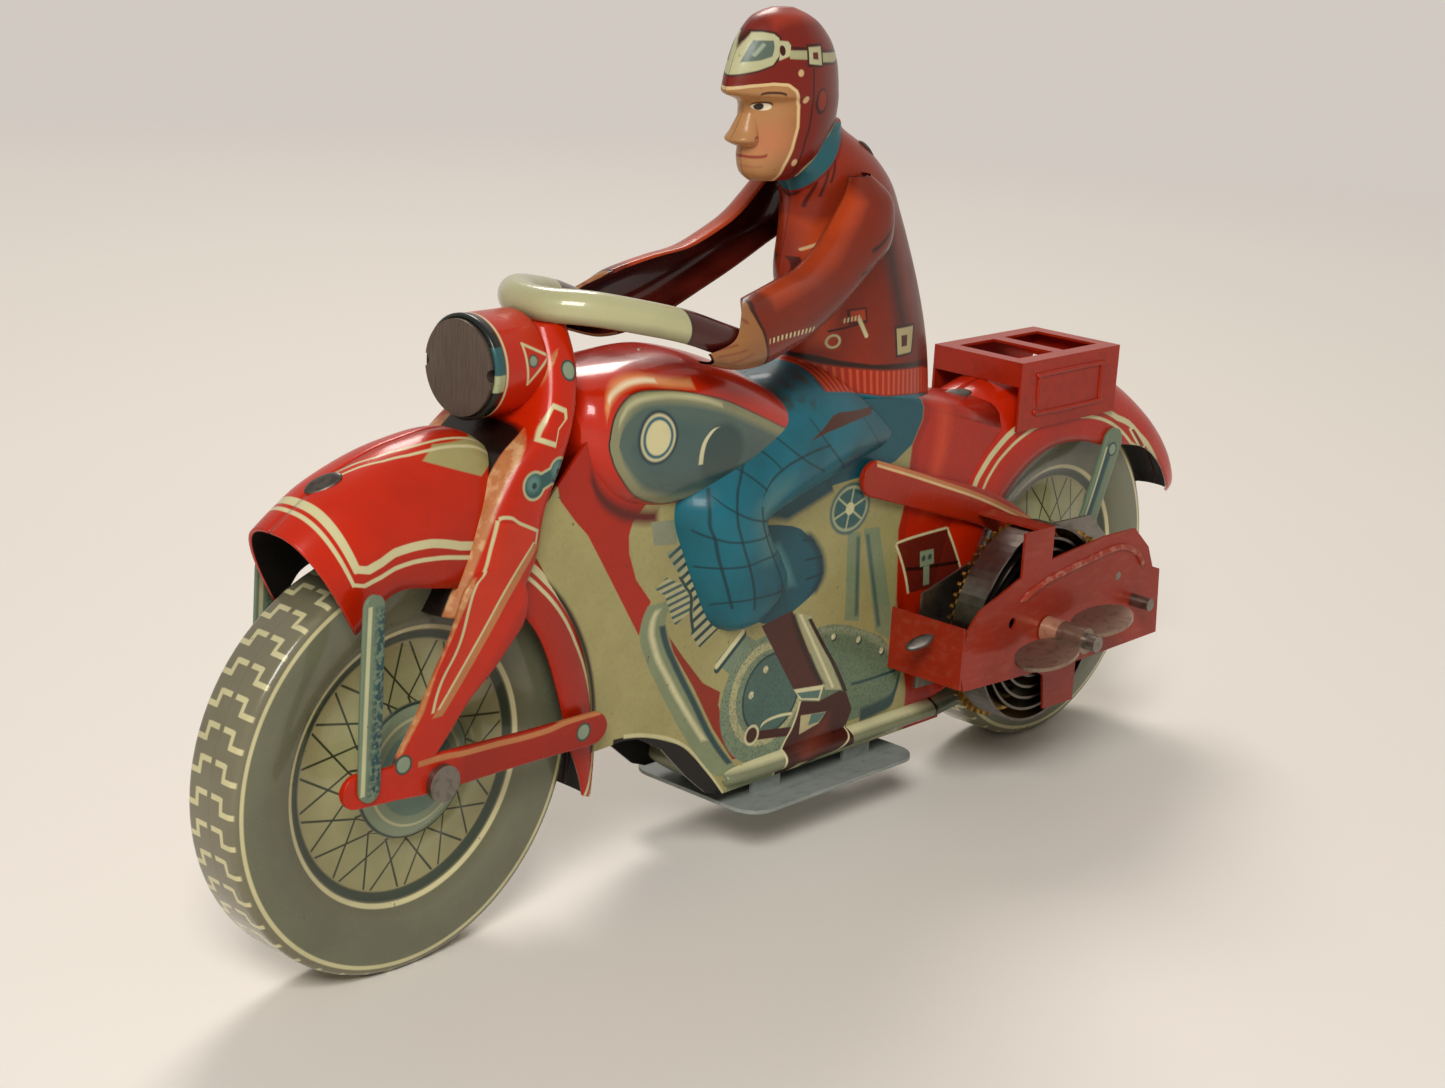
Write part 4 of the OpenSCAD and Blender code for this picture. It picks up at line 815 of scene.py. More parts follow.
# Painted shade: the inner part of the fork's front face, from under the lamp down to the mudguard, is near
# black.
fork.lay("#170b08", fork.both(fork.without(on_front, edge_strip), fork.ramp(fork.z, 106.5, 105)))
fork.lay(tan, worn_band)
fork.lay("#d9a878", fork.both(worn_band, fork.cloud(0.35, 0.48, 0.62)))
fork.lay("#9a4a26", fork.both(worn_band, fork.cloud(0.8, 0.56, 0.66)), 0.3)
fork.patch("#cf3110", [(-95.3, 86.6), (-90.3, 85.6), (-85.9, 83.5), (-86.2, 80), (-91.4, 75), (-98.5, 65.8),
    (-108.3, 53.7), (-110.1, 54.1), (-109, 57.9), (-104.3, 65.6), (-100.7, 75.7), (-98.5, 77.9),
    (-96.8, 82.5)], upright=True)
fork.line(tan, 1.9, [(-85.8, 81), (-91.4, 75), (-98.5, 65.8), (-103.4, 59.6), (-109.3, 52.6)], upright=True)
fork.line(cream, 0.5, [(-86.6, 81.6), (-92.2, 75.4), (-99.3, 66.2), (-104.2, 60), (-109, 54)], upright=True)
fork.line(cream, 0.6, [(-95.2, 87), (-96.8, 82.5), (-98.5, 77.9), (-100.7, 75.7), (-104.3, 65.6),
    (-109, 57.9), (-110.3, 53.6)], upright=True)
fork.line(cream, 0.6, [(-95.2, 87), (-94, 87.3), (-90.3, 85.6), (-85.7, 83.4)])
fork.rod(cream, (-85.8, 83.5), (-86.1, 81.2), 0.6)
panel_loop = [(-86.2, 100), (-83.6, 103), (-81, 106.5), (-78.2, 105.2), (-78.3, 103.2), (-80.7, 101.4),
    (-81.8, 98.3)]
fork.patch(cream, panel_loop)
fork.patch(red, resized(panel_loop, (-81.4, 102.4), 0.76, 0.76))
lever_ends = ((-87.2, 92.2), (-80.9, 93.9))
for code, more in (("#b9b98e", 0.5), ("#2f5a57", 0.0)):
    fork.rod(code, *lever_ends, 2.6 + 2 * more)
    for x, z in lever_ends:
        fork.dot(code, x, z, 2.3 + more)
for x, z in lever_ends:
    fork.dot("#5f8a83", x - 0.3, z + 0.4, 1.5, soft=1.2)
    fork.dot("#1d3d3b", x, z, 0.6)
link_top = [(-130, 45), (-121, 44.6), (-110.2, 44.7), (-102.1, 44.2), (-94.6, 44), (-83, 43.6),
    (-74.7, 44.2), (-67.3, 44.1)]
fork.lay(tan, fork.both(fork.stroke(link_top, 1.1), fork.ramp(fork.x, -113.6, -113.2)))
for x, z in ((-76.2, 111.6), (-72.1, 41.1), (-116.8, 45.5)):
    lay_rivet(fork, x, z, 1.9, 1.5)
# Painted shade: the fork is near black where it lies inside the mudguard's trough.
fork.lay("#120c0a", fork.both(fork.ramp(from_seam, 11.4, 11.0), fork.ramp(fork.z, 84.5, 83.5)))
fork_print = fork.finish()
fork_in, fork_out = 13.4, 14.8
foot_line = [(-88, 30), (-92, 24), (-97, 18), (-102, 11), (-106, 6), (-108, 3.5)]
link_line = [(-119, 2.8), (-110, 2.2), (-100, 1.8), (-80, 1.4), (-61, 1)]
fork_blocks = [half_form(fork_rows, fork_out),
               flat_tongue(foot_line, [17, 14, 11, 9, 8, 7], fork_in, fork_out),
               flat_tongue(link_line, [6.6, 6.6, 7.4, 6.6, 6.6], fork_in, fork_out)]
mesh_piece("fork_blades", both_sides(fork_blocks), fork_print)

strut = Print("strut_print", "#6f8168")
pale_green = "#c3c398"
strut_dapple = strut.cloud(1.2, 0.4, 0.56)
strut_middle = strut.stroke([(-122.6, 77), (-123.2, 60), (-124, 41)], 3.0, upright=True, soft=1.4)
strut.lay("#24484c", strut.both(strut_dapple, strut_middle))
strut.line(pale_green, 0.9, [(-125.6, 77), (-126.2, 60), (-126.7, 42)], upright=True)
strut.line("#21484d", 2.2, [(104, 73), (98.6, 60), (92.4, 46)], upright=True, soft=1.0)
strut.line(pale_green, 0.6, [(102, 72), (96.6, 58), (90.8, 46)], upright=True)
lay_rivet(strut, 104.4, 71, 1.7, 1.3)
strut_print = strut.finish()
strut_line = [(-116.5, 36.5), (-116.8, 20), (-117, 3)]
front_strut = flat_tongue(strut_line, [4.6, 5.0, 4.8], inner=14.7, outer=15.6)
mesh_piece("front_struts", both_sides([front_strut]), strut_print)


def turned_part(outline, middle, axis):
    """An outline of (distance along the axis, radius) carried round it in 96 steps."""
    count = 96
    outline = np.array(outline, float)
    a = np.linspace(0, 2 * np.pi, count + 1)[:-1]
    along = np.repeat(outline[:, :1], count, axis=1)
    c, s = outline[:, 1:] * np.cos(a), outline[:, 1:] * np.sin(a)
    parts = (along, c, s) if axis == "x" else (c, along, s)
    return np.stack(parts, axis=-1) + np.array(middle, float)


drum = [(-71.6, 0.2), (-71.6, 8.9), (-72, 9.5), (-72.6, 9.7), (-83.2, 9.7), (-83.6, 9.85), (-84.2, 9.85),
    (-84.6, 9.5), (-84.6, 9.0), (-83, 9.0), (-80, 9.0), (-79.6, 0.2)]
lamp_z = 72.1
lamp_grid = turned_part(drum, (0, 0, lamp_z), "x")
lamp_red = Print("lamp_print", red)
triangle = ((-85.5, 117.1), (-79.7, 114.4), (-84.8, 109.8))
for k in range(3):
    lamp_red.rod(cream, triangle[k - 1], triangle[k], 0.5)
lay_rivet(lamp_red, -83.6, 113.9, 1.2, 0.9)
lamp_red.lay("#141d1a", lamp_red.ramp(lamp_red.x, -90.2, -90.6))
near_rim = lamp_red.both(lamp_red.ramp(lamp_red.x, -90.3, -90.6), lamp_red.ramp(lamp_red.y, -5.4, -6.2))
lamp_red.lay("#2d5a5c", lamp_red.both(near_rim, lamp_red.band(lamp_red.z, 113.6, 7.0)))
lamp_red.lay("#a9ae84", lamp_red.both(near_rim, lamp_red.band(lamp_red.z, 110.6, 3.2)))
lamp_red.lay(cream, lamp_red.band(lamp_red.x, -90, 0.5))
lamp_print = lamp_red.finish()
mesh_piece("lamp_drum", [grid_block(lamp_grid, (-80, 0, lamp_z), joined=True)], lamp_print)

# Tank: a drop-shaped swelling between the fork and the rider's knees, pressed in each half.
# It is printed red, with painted shade low down and a painted highlight along its top, and a grey-green
# panel with a plain round boss.
tank_rows = [(-64, 64, -63, 53, -6.5, 2.4), (-61, 67.5, -59.5, 47.5, -3.5, 2.5),
    (-55, 69.5, -53, 42, -1.5, 2.6), (-46, 70.5, -44, 39.5, -0.5, 2.6), (-34, 70.5, -34, 39, 0, 2.6),
    (-22, 67, -22, 39.5, 0, 2.6), (-10, 61.5, -10, 40, -1, 2.5), (0, 55.5, 0, 40, -3, 2.4)]
tank = Print("tank_print", red)
# Painted shade low on the tank, then a painted highlight and a pale glint line along its top.
tank.lay(deep_red, tank.ramp(tank.z, 92, 80), 0.7)
tank.line("#e0905a", 1.5, [(-67.9, 100.9), (-67, 103.4), (-65, 105.7), (-61.8, 107.1), (-57.6, 107.6),
    (-51.8, 106.7), (-45, 105.8)], soft=0.9)
tank.line("#ecd7b0", 0.7, [(-66.6, 104), (-63.6, 106.3), (-58.6, 107.4), (-53.8, 107.1)], soft=0.5)
tank_loop = rounded([(-67.1, 96.8), (-66.2, 101.5), (-63.3, 104.4), (-59.4, 105.8), (-53.8, 105.6),
    (-47.8, 104.7), (-41.2, 103), (-36.6, 101.5), (-30, 98.6), (-22, 95), (-13, 90.5), (-16, 85),
    (-24, 82.6), (-34, 82), (-43.7, 82.2), (-50, 82.1), (-56.7, 84.2), (-60.8, 86.7), (-64.7, 91),
    (-66.3, 93.9)])
tank.patch("#2d1a12", resized(tank_loop, (-50, 94), 1.02, 1.03), soft=0.5)
tank.patch("#8a8a66", tank_loop, soft=0.4)
tank.patch("#4d6259", resized(tank_loop, (-50, 93), 0.9, 0.88), soft=1.6)
tank.patch("#3f5a56", resized(tank_loop, (-49, 91), 0.78, 0.7), soft=3.5)
tank.line("#b9b68c", 0.8, [(-65.6, 97.4), (-64.3, 102), (-60.2, 104.3), (-54.3, 104.6), (-47.4, 103.7),
    (-38.6, 101)], soft=0.6)
boss = (-56.3, 97)
tank.lay("#16323c", tank.oval(*boss, 5.0, 5.3))
tank.lay("#d6cd9c", tank.oval(*boss, 4.3, 4.6))
tank.lay("#2b5f6b", tank.without(tank.oval(*boss, 3.8, 4.1), tank.oval(*boss, 3.1, 3.4)))
tank.dot("#2c4744", -38.9, 91.6, 6.0, soft=1.5)
tank.line("#d9d4a8", 0.9, [(-44.6, 90), (-44.4, 93.6), (-43, 95.8), (-40.3, 97.2)], upright=True)
tank_print = tank.finish(coat=0.5)
mesh_piece("tank", both_sides([half_form(tank_rows, depth=16.5)]), tank_print)

# Exhaust silencers: a long half round bead low along each side, pressed out of the same sheet of tin.
# They are printed olive with a pale line along the top, and a darker tail behind a black ring.
exhaust_rows = [(-19, -19.5, -19, -23.5, -2.3, 2), (-11, -18, -11, -24.8, -0.3, 2.2),
    (46, -17.7, 46, -24.8, 0, 2.2), (52, -17.7, 52, -25.2, -0.3, 2.2), (64, -18.5, 65, -24.2, -1.8, 2.2)]
silencer = Print("silencer_print", "#7b7f61")
silencer.lay("#d3cda0", silencer.band(silencer.z, 20.6, 1.2, 0.8))
silencer.lay("#3c4a3f", silencer.ramp(silencer.z, 17.4, 15.4))
tail_under = silencer.both(silencer.ramp(silencer.x, 41.8, 42.2), silencer.ramp(silencer.z, 21.4, 19))
silencer.lay("#55604c", tail_under)
silencer.lay("#161a16", silencer.band(silencer.x, 42, 0.9))
lay_shoe(silencer)
silencer_print = silencer.finish()
mesh_piece("silencers", both_sides([half_form(exhaust_rows, depth=13.8)]), silencer_print)

# Rider's legs: thigh and knee swelled out of each pressing, printed as checked blue-green breeches.
# The jacket's hem runs out over their upper edge, so a little of its ink lies on them.
leg_rows = [(8, 63, 38, 40, -8, 2.4), (-6, 62, 24, 40, -4.2, 2.4), (-19, 58, 10, 37.5, -2, 2.4),
    (-29, 51, -2, 36, -0.5, 2.4), (-37.5, 44, -11, 34, 0, 2.5), (-39.3, 38.5, -9, 29.5, 0, 2.5),
    (-36.5, 30.5, -4.5, 25, -0.5, 2.4), (-32.5, 22, -2, 19.5, -1.5, 2.4), (-28, 14.5, -7.5, 13, -4.5, 2.4),
    (-23, 11.2, -11.5, 11.2, -8, 2.2)]
thigh_shade = "#134048"
breeches = Print("breeches_print", teal)
breeches.lay(thigh_shade, breeches.ramp(breeches.x, 2, 26), 0.7)
breeches.lay(thigh_shade, breeches.cloud(0.06, 0.42, 0.68), 0.5)
# Painted highlight: a broad, soft, paler stroke down the front of the thigh and knee.
breeches.line(knee_highlight, 5.0, [(-21.6, 86), (-24, 82.6), (-27.4, 78.6), (-26.6, 74.6), (-22.6, 66)],
    upright=True, soft=5.0)
long_lines = (((-21.8, 94.8), (-28.5, 91.2), (-33.7, 86.2), (-36.4, 80.9), (-36.4, 78.4), (-34.8, 74.1),
               (-30.8, 66.6), (-26.6, 57)),
              ((-6, 88.6), (-15.2, 87.9), (-23.4, 86.1), (-28.1, 83.2), (-29.4, 80)),
              ((-40.4, 84.6), (-41.9, 79.1), (-40.1, 74.1), (-36.8, 67.1), (-32, 58)),
              ((-29.4, 80), (-28.6, 77.1), (-25.4, 70.5), (-19.4, 61.5), (-16.6, 56)))
for line, upright in zip(long_lines, (True, False, True, True)):
    breeches.line(plaid, 0.55, line, upright=upright, share=0.8)
cross_lines = (((-31.7, 93.9), (-25.4, 88.8), (-22.8, 86)),
               ((-35.4, 89.2), (-31.7, 86.1), (-27.7, 82.8)),
               ((-40.8, 83.4), (-37.5, 80.3), (-28.5, 76.7), (-20, 75.6)),
               ((-44, 76.4), (-40, 74.5), (-35.1, 73.4), (-24, 73.2)),
               ((-41, 67.9), (-33.7, 67.8), (-25.3, 68.6), (-16, 68.2)),
               ((-36, 58.4), (-27.1, 60), (-15, 59)),
               ((-24.7, 94.6), (-17.3, 88.3), (-7.5, 83.3)),
               ((-12, 95), (-6, 88), (4, 81)),
               ((8, 92), (14, 86), (24, 80)))
for line in cross_lines:
    breeches.line(plaid, 0.5, line, share=0.75)
breeches.patch("#4a2414", [(-14.2, 90.1), (-8.3, 92.4), (-4.3, 94.3), (-1.4, 94.6), (5, 93.9), (14.1, 93.3),
    (11.7, 91.7), (2.2, 91.7), (-6.7, 91.2)])
# A darker, patchy green just below the hem.
patchy_below_hem = breeches.cloud(0.25, 0.42, 0.56)
by_the_hem = breeches.area([(-24, 100), (-14, 103), (-4, 103), (-4, 98), (-8.8, 95.4), (-22, 96)], soft=2.0)
breeches.lay("#2b3d36", breeches.both(patchy_below_hem, by_the_hem), 0.8)
hem_red = "#a82408"
hem_orange = "#c4502a"
hem_low = [(-6, 98.9), (-2.6, 98.3), (4.2, 97.3), (18, 94.7), (26.3, 93.9), (33.9, 93), (46.2, 89.9)]
on_hem = breeches.both(breeches.past(breeches.z, breeches.curve(breeches.x, hem_low)),
                       breeches.ramp(breeches.x, -3.2, -2.8))
breeches.lay(hem_red, on_hem)
breeches.lay(hem_orange, breeches.both(on_hem, breeches.stripes(8, 1.7, 0.4)))
breeches_print = breeches.finish(rough=0.34, soiling=0.15)
mesh_piece("legs", both_sides([half_form(leg_rows, depth=19.5)]), breeches_print)

# Rider's body: both halves of the chest and back, printed as a red jacket with a ribbed hem.
# The front is brightest and the back turns to maroon, with a dark streak between them.
torso_rows = [(5, 44, 52, 40, -0.5, 2), (5.5, 56, 51.5, 52, -0.3, 1.9), (6.2, 64, 49.3, 64, 0, 1.8),
    (3.8, 74, 45.8, 75, 0, 1.7), (1.6, 82, 41.8, 84.5, 0, 1.6), (2.8, 90, 37.2, 92.5, 0, 1.6),
    (3.4, 96.6, 32, 100, -0.5, 1.7), (1.2, 101, 25, 106.3, -2.4, 1.8), (-0.5, 102.5, 16.8, 111, -4.4, 1.9),
    (-1.5, 106, 15.4, 113, -5, 2)]
belt_brown = "#2b140d"
rib_brown = "#4a1409"
collar_teal = "#255a62"
tin_yellow = "#d9b483"
jacket = Print("jacket_print", "#8e2a11")
jacket.lay("#5f1a0b", jacket.ramp(jacket.x, 10, 30), 0.95)
jacket.line("#c2481f", 4.0, [(-2, 134), (-1.5, 124), (1.4, 112), (2.4, 105)], upright=True, soft=3.0)
jacket.line("#3f1309", 4.4, [(13.6, 132), (16.8, 124.4), (20.7, 114.3), (24, 105)], upright=True, soft=4.0)
jacket.lay(teal, jacket.past(jacket.curve(jacket.x, hem_low), jacket.z))
hem_top = [(-6, 104.6), (-1.5, 103.5), (1.3, 102.7), (5.6, 101.9), (10.9, 101.1), (17.3, 100.3),
    (25.4, 99.7), (32.3, 99.1), (44.6, 96.1)]
hem = jacket.area(hem_top + [(46.4, 95.6)] + hem_low[::-1])
jacket.lay(hem_red, hem)
jacket.lay(hem_orange, jacket.both(hem, jacket.stripes(8, 1.7, 0.4)))
jacket.patch(belt_brown, [(-6, 106), (-1.5, 105), (1.2, 104.6), (5.5, 103.5), (13.7, 102.1), (23.4, 101.4),
    (34, 100.6), (45, 97.6)] + hem_top[::-1], soft=0.4)
collar = [(-7, 135), (-6, 136.7), (-4.1, 138.7), (-2.1, 141.5), (1, 145), (3.9, 148.4), (6.4, 151.4),
    (4, 154), (-4, 154), (-9, 150), (-9.4, 140)]
jacket.patch("#7a1a0c", collar, upright=True)
jacket.patch(collar_teal, [(x - 0.45, z + 0.5) for x, z in collar], upright=True)
for a, b in (((-4.6, 138.4), (-6, 134.5)), ((-2.9, 140.6), (-3.5, 135.6)),
             ((-1.2, 143), (-1.7, 137.9)), ((0.4, 145), (-0.4, 140.9))):
    jacket.rod(rib_brown, a, b, 0.5)
jacket.line(rib_brown, 1.6, [(-6, 120.5), (-4.6, 122.6), (-5.2, 125.4)], upright=True)
jacket.rod(tin_yellow, (-4, 126.8), (-1.5, 128), 0.6)
jacket.patch(rib_brown, [(5.6, 114.4), (10.4, 114.7), (11.2, 111), (6.6, 110.8)])
jacket.patch("#b4401f", [(6.5, 114), (10, 114.3), (10.7, 111.6), (7, 111.3)])
jacket.lay(cream, jacket.both(jacket.bar((5.5, 111.8), (8.9, 112.4), 1.0), jacket.stripes(0, 0.8, 0.5)))
jacket.rod(cream, (9, 111.9), (11.2, 108.3), 0.9)
jacket.rod("#3a110a", (2.7, 109.6), (8.6, 110.9), 0.5)
jacket.lay(cream, jacket.ring(3.9, 107.4, 1.3, 0.5))
jacket.patch(belt_brown, [(19.2, 109.8), (27.9, 109.5), (26.8, 102.6), (20.4, 102.6)])
jacket.patch("#b7a97b", [(19.9, 109.2), (27.2, 108.9), (26.3, 103.1), (21, 103.1)])
jacket.patch("#4a1a10", [(21.9, 107.5), (24.4, 107.4), (24.5, 104.7), (22.3, 104.7)])
jacket_print = jacket.finish(rough=0.32)
mesh_piece("rider_body", both_sides([half_form(torso_rows, depth=11)]), jacket_print)

# Rider's head: a smooth pressed head with a leather flying helmet and goggles in print.
# The face is plain and calm, on common drawing-book proportions, with a small nose raised from the sheet.
head_heights = [(101.3, -9, 3, -4.9, 2), (103, -11.3, 7, -3.1, 1.9), (106, -12.2, 11.4, -1.7, 1.8),
    (109.5, -12, 13.6, -1, 1.7), (113.5, -12.4, 14.6, -0.6, 1.7), (117, -12.8, 14.9, -0.3, 1.7),
    (118.8, -17.4, 14.9, 0, 1.7), (121, -17.4, 14.6, 0, 1.7), (124.5, -16.4, 13.7, -0.1, 1.7),
    (128.5, -14.6, 11.5, -0.6, 1.7), (131.8, -12.2, 8.2, -2, 1.7), (133.8, -9.5, 4.5, -3.6, 1.8),
    (135.2, -5.5, 0.5, -6.3, 2)]
head_rows = [(f, h, b, h, d, r) for h, f, b, d, r in head_heights]
nose_rows = [(-12.3, 115.2, -9, 115, -6.1, 2), (-14.3, 111.5, -9, 112, -5.1, 2),
    (-15.5, 109.4, -9, 110, -4.5, 2), (-12.1, 108, -9, 108.6, -5.7, 2)]
skin = "#b58352"
leather = "#7c1b0d"
seam_brown = "#3c0f08"
brow_brown = "#4d2a18"
goggle_cream = "#c9c79b"
head = Print("head_print", leather)
head.lay("#4f120a", head.ramp(head.x, -8, 8), 0.6)
# Painted highlight: a paler soft band along the crown of the helmet.
head.line("#a5331b", 2.4, [(-18, 172), (-12, 174), (-4, 174.4)], soft=2.0)
face = head.area([(-26, 159.5), (-22.9, 160.2), (-18.6, 160.7), (-15.2, 160.5), (-13.5, 159.4),
    (-11.8, 156.4), (-11.4, 152.3), (-12.1, 148.2), (-13.3, 144.8), (-14, 140), (-30, 138), (-32, 150)],
    upright=True)
head.patch("#e3c48f", [(-26, 160.1), (-22.9, 160.8), (-18.6, 161.3), (-15, 161.1), (-12.9, 159.8),
    (-11.1, 156.6), (-10.7, 152.3), (-11.4, 148), (-12.6, 144.5), (-13.2, 140), (-30, 138), (-32, 150)],
    upright=True)
head.lay(skin, face)
# Painted shade: the face darkens towards its back edge, along the jaw.
head.lay("#a9683f", head.both(face, head.ramp(head.x, -16, -11)), 0.6)
head.dot("#c97a58", -16.6, 149.6, 3.4, soft=4.0, share=0.6)
head.line(brow_brown, 0.5, [(-21, 158.7), (-18.4, 159.3), (-15.4, 158.6)])
head.lay("#e9dcc0", head.oval(-18.4, 156.3, 1.5, 0.75))
head.dot("#2a211c", -18.9, 156.3, 0.7, soft=0.15)
head.line(brow_brown, 0.35, [(-20.1, 156.3), (-18.4, 157.2), (-16.7, 156.3)])
head.line("#8f4c35", 0.4, [(-20.4, 149.8), (-19.3, 150.3), (-18.8, 149.3)])
head.line("#94402c", 0.6, [(-20.8, 146.5), (-19, 146.3), (-16.8, 147)])
head.line("#b0714e", 0.4, [(-20.2, 144.6), (-18.8, 144.3), (-17.4, 144.7)])
head.line(seam_brown, 0.5, [(-9, 164.1), (-8.6, 159.5), (-8.2, 154.7), (-9, 149.1), (-10, 143)],
    upright=True)
head.lay(seam_brown, head.oval(-5.4, 157.3, 2.1, 2.6))
head.lay("#8f2a17", head.oval(-5.2, 157.5, 1.5, 2.0))
head.line(cream, 0.8, [(3.6, 152.6), (2.7, 151.9), (-0.7, 149.6), (-3.7, 146), (-6.6, 143.7),
    (-7.4, 141.8)], upright=True)
head.patch(collar_teal, [(4.4, 152), (2.9, 151.3), (-0.5, 149), (-3.4, 145.5), (-6.2, 143.1), (-7, 140.6),
    (-2, 139), (8, 146)], upright=True)
head.patch(seam_brown, [(-15.6, 168.4), (-10.2, 168.2), (-6.1, 167.6), (9, 167), (9, 164), (-0.3, 164),
    (-6.3, 164.3), (-10.2, 164.9), (-15.6, 165.1)])
head.patch("#b6b489", [(-15, 167.6), (-10.2, 167.6), (-6.1, 167), (9, 166.4), (9, 164.6), (-0.3, 164.6),
    (-6.3, 164.9), (-10.2, 165.5), (-15.1, 165.7)])
head.patch(seam_brown, [(-11, 168.8), (-6, 168.9), (-5.6, 163.8), (-10.8, 164.1)])
head.patch(goggle_cream, [(-10.5, 168.2), (-6.5, 168.3), (-6.1, 164.3), (-10.3, 164.7)])
head.patch("#6a2216", [(-9.3, 167.2), (-7.6, 167.2), (-7.4, 165.4), (-9.2, 165.6)])
goggle = [(-26, 162), (-24.4, 165.8), (-22.4, 168.8), (-20.7, 170.8), (-19.3, 170.9), (-17.5, 170.6),
    (-16.7, 169.8), (-17.3, 166.2), (-18.6, 164.5), (-21.3, 163.4)]
head.patch(seam_brown, resized(goggle, (-20.4, 167), 1.12, 1.12))
head.patch(goggle_cream, goggle)
head.patch("#5d6f63", [(-23.9, 164.7), (-22.1, 168), (-21.1, 169.3), (-17.9, 169.4), (-18, 167.8),
    (-18.6, 166.1), (-20.7, 165.3)])
head.rod("#9fac94", (-21.6, 166.4), (-19.8, 168.4), 0.6)
head.patch(goggle_cream, [(-16.8, 169.4), (-15.1, 169.3), (-14.6, 168.5), (-15.1, 166.2), (-17.4, 165.3)])
head.lay(seam_brown, head.oval(-16.5, 167.4, 0.6, 1.0))
for x, z in ((-10.3, 157.8), (-10.7, 145.2), (-12.4, 163.1)):
    head.dot(tin_yellow, x, z, 0.7)
head_print = head.finish(rough=0.3)
mesh_piece("head", both_sides([half_form(head_rows, depth=8)]), head_print)
mesh_piece("nose", both_sides([half_form(nose_rows, depth=8)]), head_print)

# Rear stays and struts: flat tongues of the pressing, from the seat and the tail down to the rear axle.
# They stand a little outside the engine side; the stay is printed red, the strut grey-green.
stay = Print("stay_print", "#a52508")
stay.line(tan, 1.4, [(14, 81), (34.5, 73.9), (57.5, 65.3), (82.6, 53), (88, 49)])
stay.line("#e0bd8a", 0.5, [(14, 80.6), (34.5, 73.5), (57.5, 64.9), (82.6, 52.6)])
stay_print = stay.finish()
stay_in, stay_out = 11.8, 13.2
stay_line = [(22, 37.5), (44, 30.5), (66, 23), (84, 13), (99, 3)]
rear_stay = flat_tongue(stay_line, [8, 8, 8, 7.4, 7], stay_in, stay_out)
rear_strut = flat_tongue([(113, 32.5), (107, 18), (101, 4)], [7, 6.6, 7], stay_in, stay_out)
mesh_piece("rear_stays", both_sides([rear_stay]), stay_print)
mesh_piece("rear_struts", both_sides([rear_strut]), strut_print)

# Arms: open troughs of tin from the shoulder to the hand, printed as red sleeves with bare hands.
# Their inside, seen on the far arm, is dark maroon varnish, made as dark as the shade there, so partly
# painted shade.
arm_rows = [(10, 102.2, 14.5, 102.8, 9.6, 3.5, 0), (7.6, 98.8, 18.5, 98.6, 10.7, 6.2, 0),
    (4.6, 95.6, 19, 93.6, 11.15, 7.4, 0), (1, 92.2, 17, 88.3, 11.8, 8, 0),
    (-3, 89.5, 10.8, 84.6, 12.8, 8, 0), (-10.4, 86, 3, 80, 14.4, 7.8, 0),
    (-18, 84.6, -5, 75.9, 15.9, 7.5, 0), (-24, 83.4, -12.5, 72.5, 16.8, 7.3, 0),
    (-29, 82.2, -20, 70.3, 17.2, 7.3, 0), (-33, 80.4, -25.5, 69, 17.2, 7.6, 25),
    (-38.5, 78.2, -33, 69, 17.2, 7.8, 60), (-43.5, 75, -40.5, 71, 17.8, 5, 70)]


def arm_grid(sheet):
    """Oval arcs from an upper to a lower edge, set out from the seam, less the sheet:
    middle + half cos(a) ** e along, swell sin(a) ** e out, where a runs from the row's starting turn
    to half a turn and e = 2 / 2.4. A row is both edges, the seam distance, the swell and the turn."""
    power = 2 / 2.4
    rows = smooth_rows(arm_rows, 8)
    start = np.radians(rows[:, 6:7].clip(0))
    a = start + (np.pi - start) * np.linspace(0, 1, 41)[None, :]
    c = np.sign(np.cos(a)) * np.abs(np.cos(a)) ** power
    s = np.abs(np.sin(a)) ** power
    middle, half = (rows[:, 0:2] + rows[:, 2:4]) / 2, (rows[:, 0:2] - rows[:, 2:4]) / 2
    size = np.linalg.norm(half, axis=1)[:, None]
    shrink = (size - sheet) / size
    along = middle[:, :1] + half[:, :1] * shrink * c
    up = middle[:, 1:] + half[:, 1:] * shrink * c
    return np.stack([along, -rows[:, 4:5] - (rows[:, 5:6] - sheet) * s, up], axis=-1)


sleeve = Print("sleeve_print", "#7a2610")
# Painted shade in a broad darker stroke along the lower back of the sleeve, and a painted highlight along
# its upper front edge.
sleeve.line("#5f1f10", 7.0, [(20, 141), (11, 133), (7, 127), (-2, 121), (-14, 115), (-26, 111)], soft=6.0,
    share=0.9)
sleeve.line("#b8431c", 2.6, [(1.4, 140.6), (-6.4, 132.9), (-14.4, 128), (-25.6, 124.7), (-34, 122.6)],
    soft=2.2)
crease = "#2e0f08"
sleeve.line(crease, 0.7, [(8, 134.6), (4, 131), (-2, 128.6)], soft=0.6)
sleeve.line(crease, 0.6, [(5, 129), (0, 126), (-6, 124.4)], soft=0.5)
cuff = [(-36.6, 123.4), (-37.3, 121.9), (-38.5, 119.6), (-37.8, 116.6), (-36.3, 112.4), (-34, 107)]
hand = sleeve.past(sleeve.curve(sleeve.z, [(z, x) for x, z in cuff]), sleeve.x)
sleeve.lay("#a06c3f", hand)
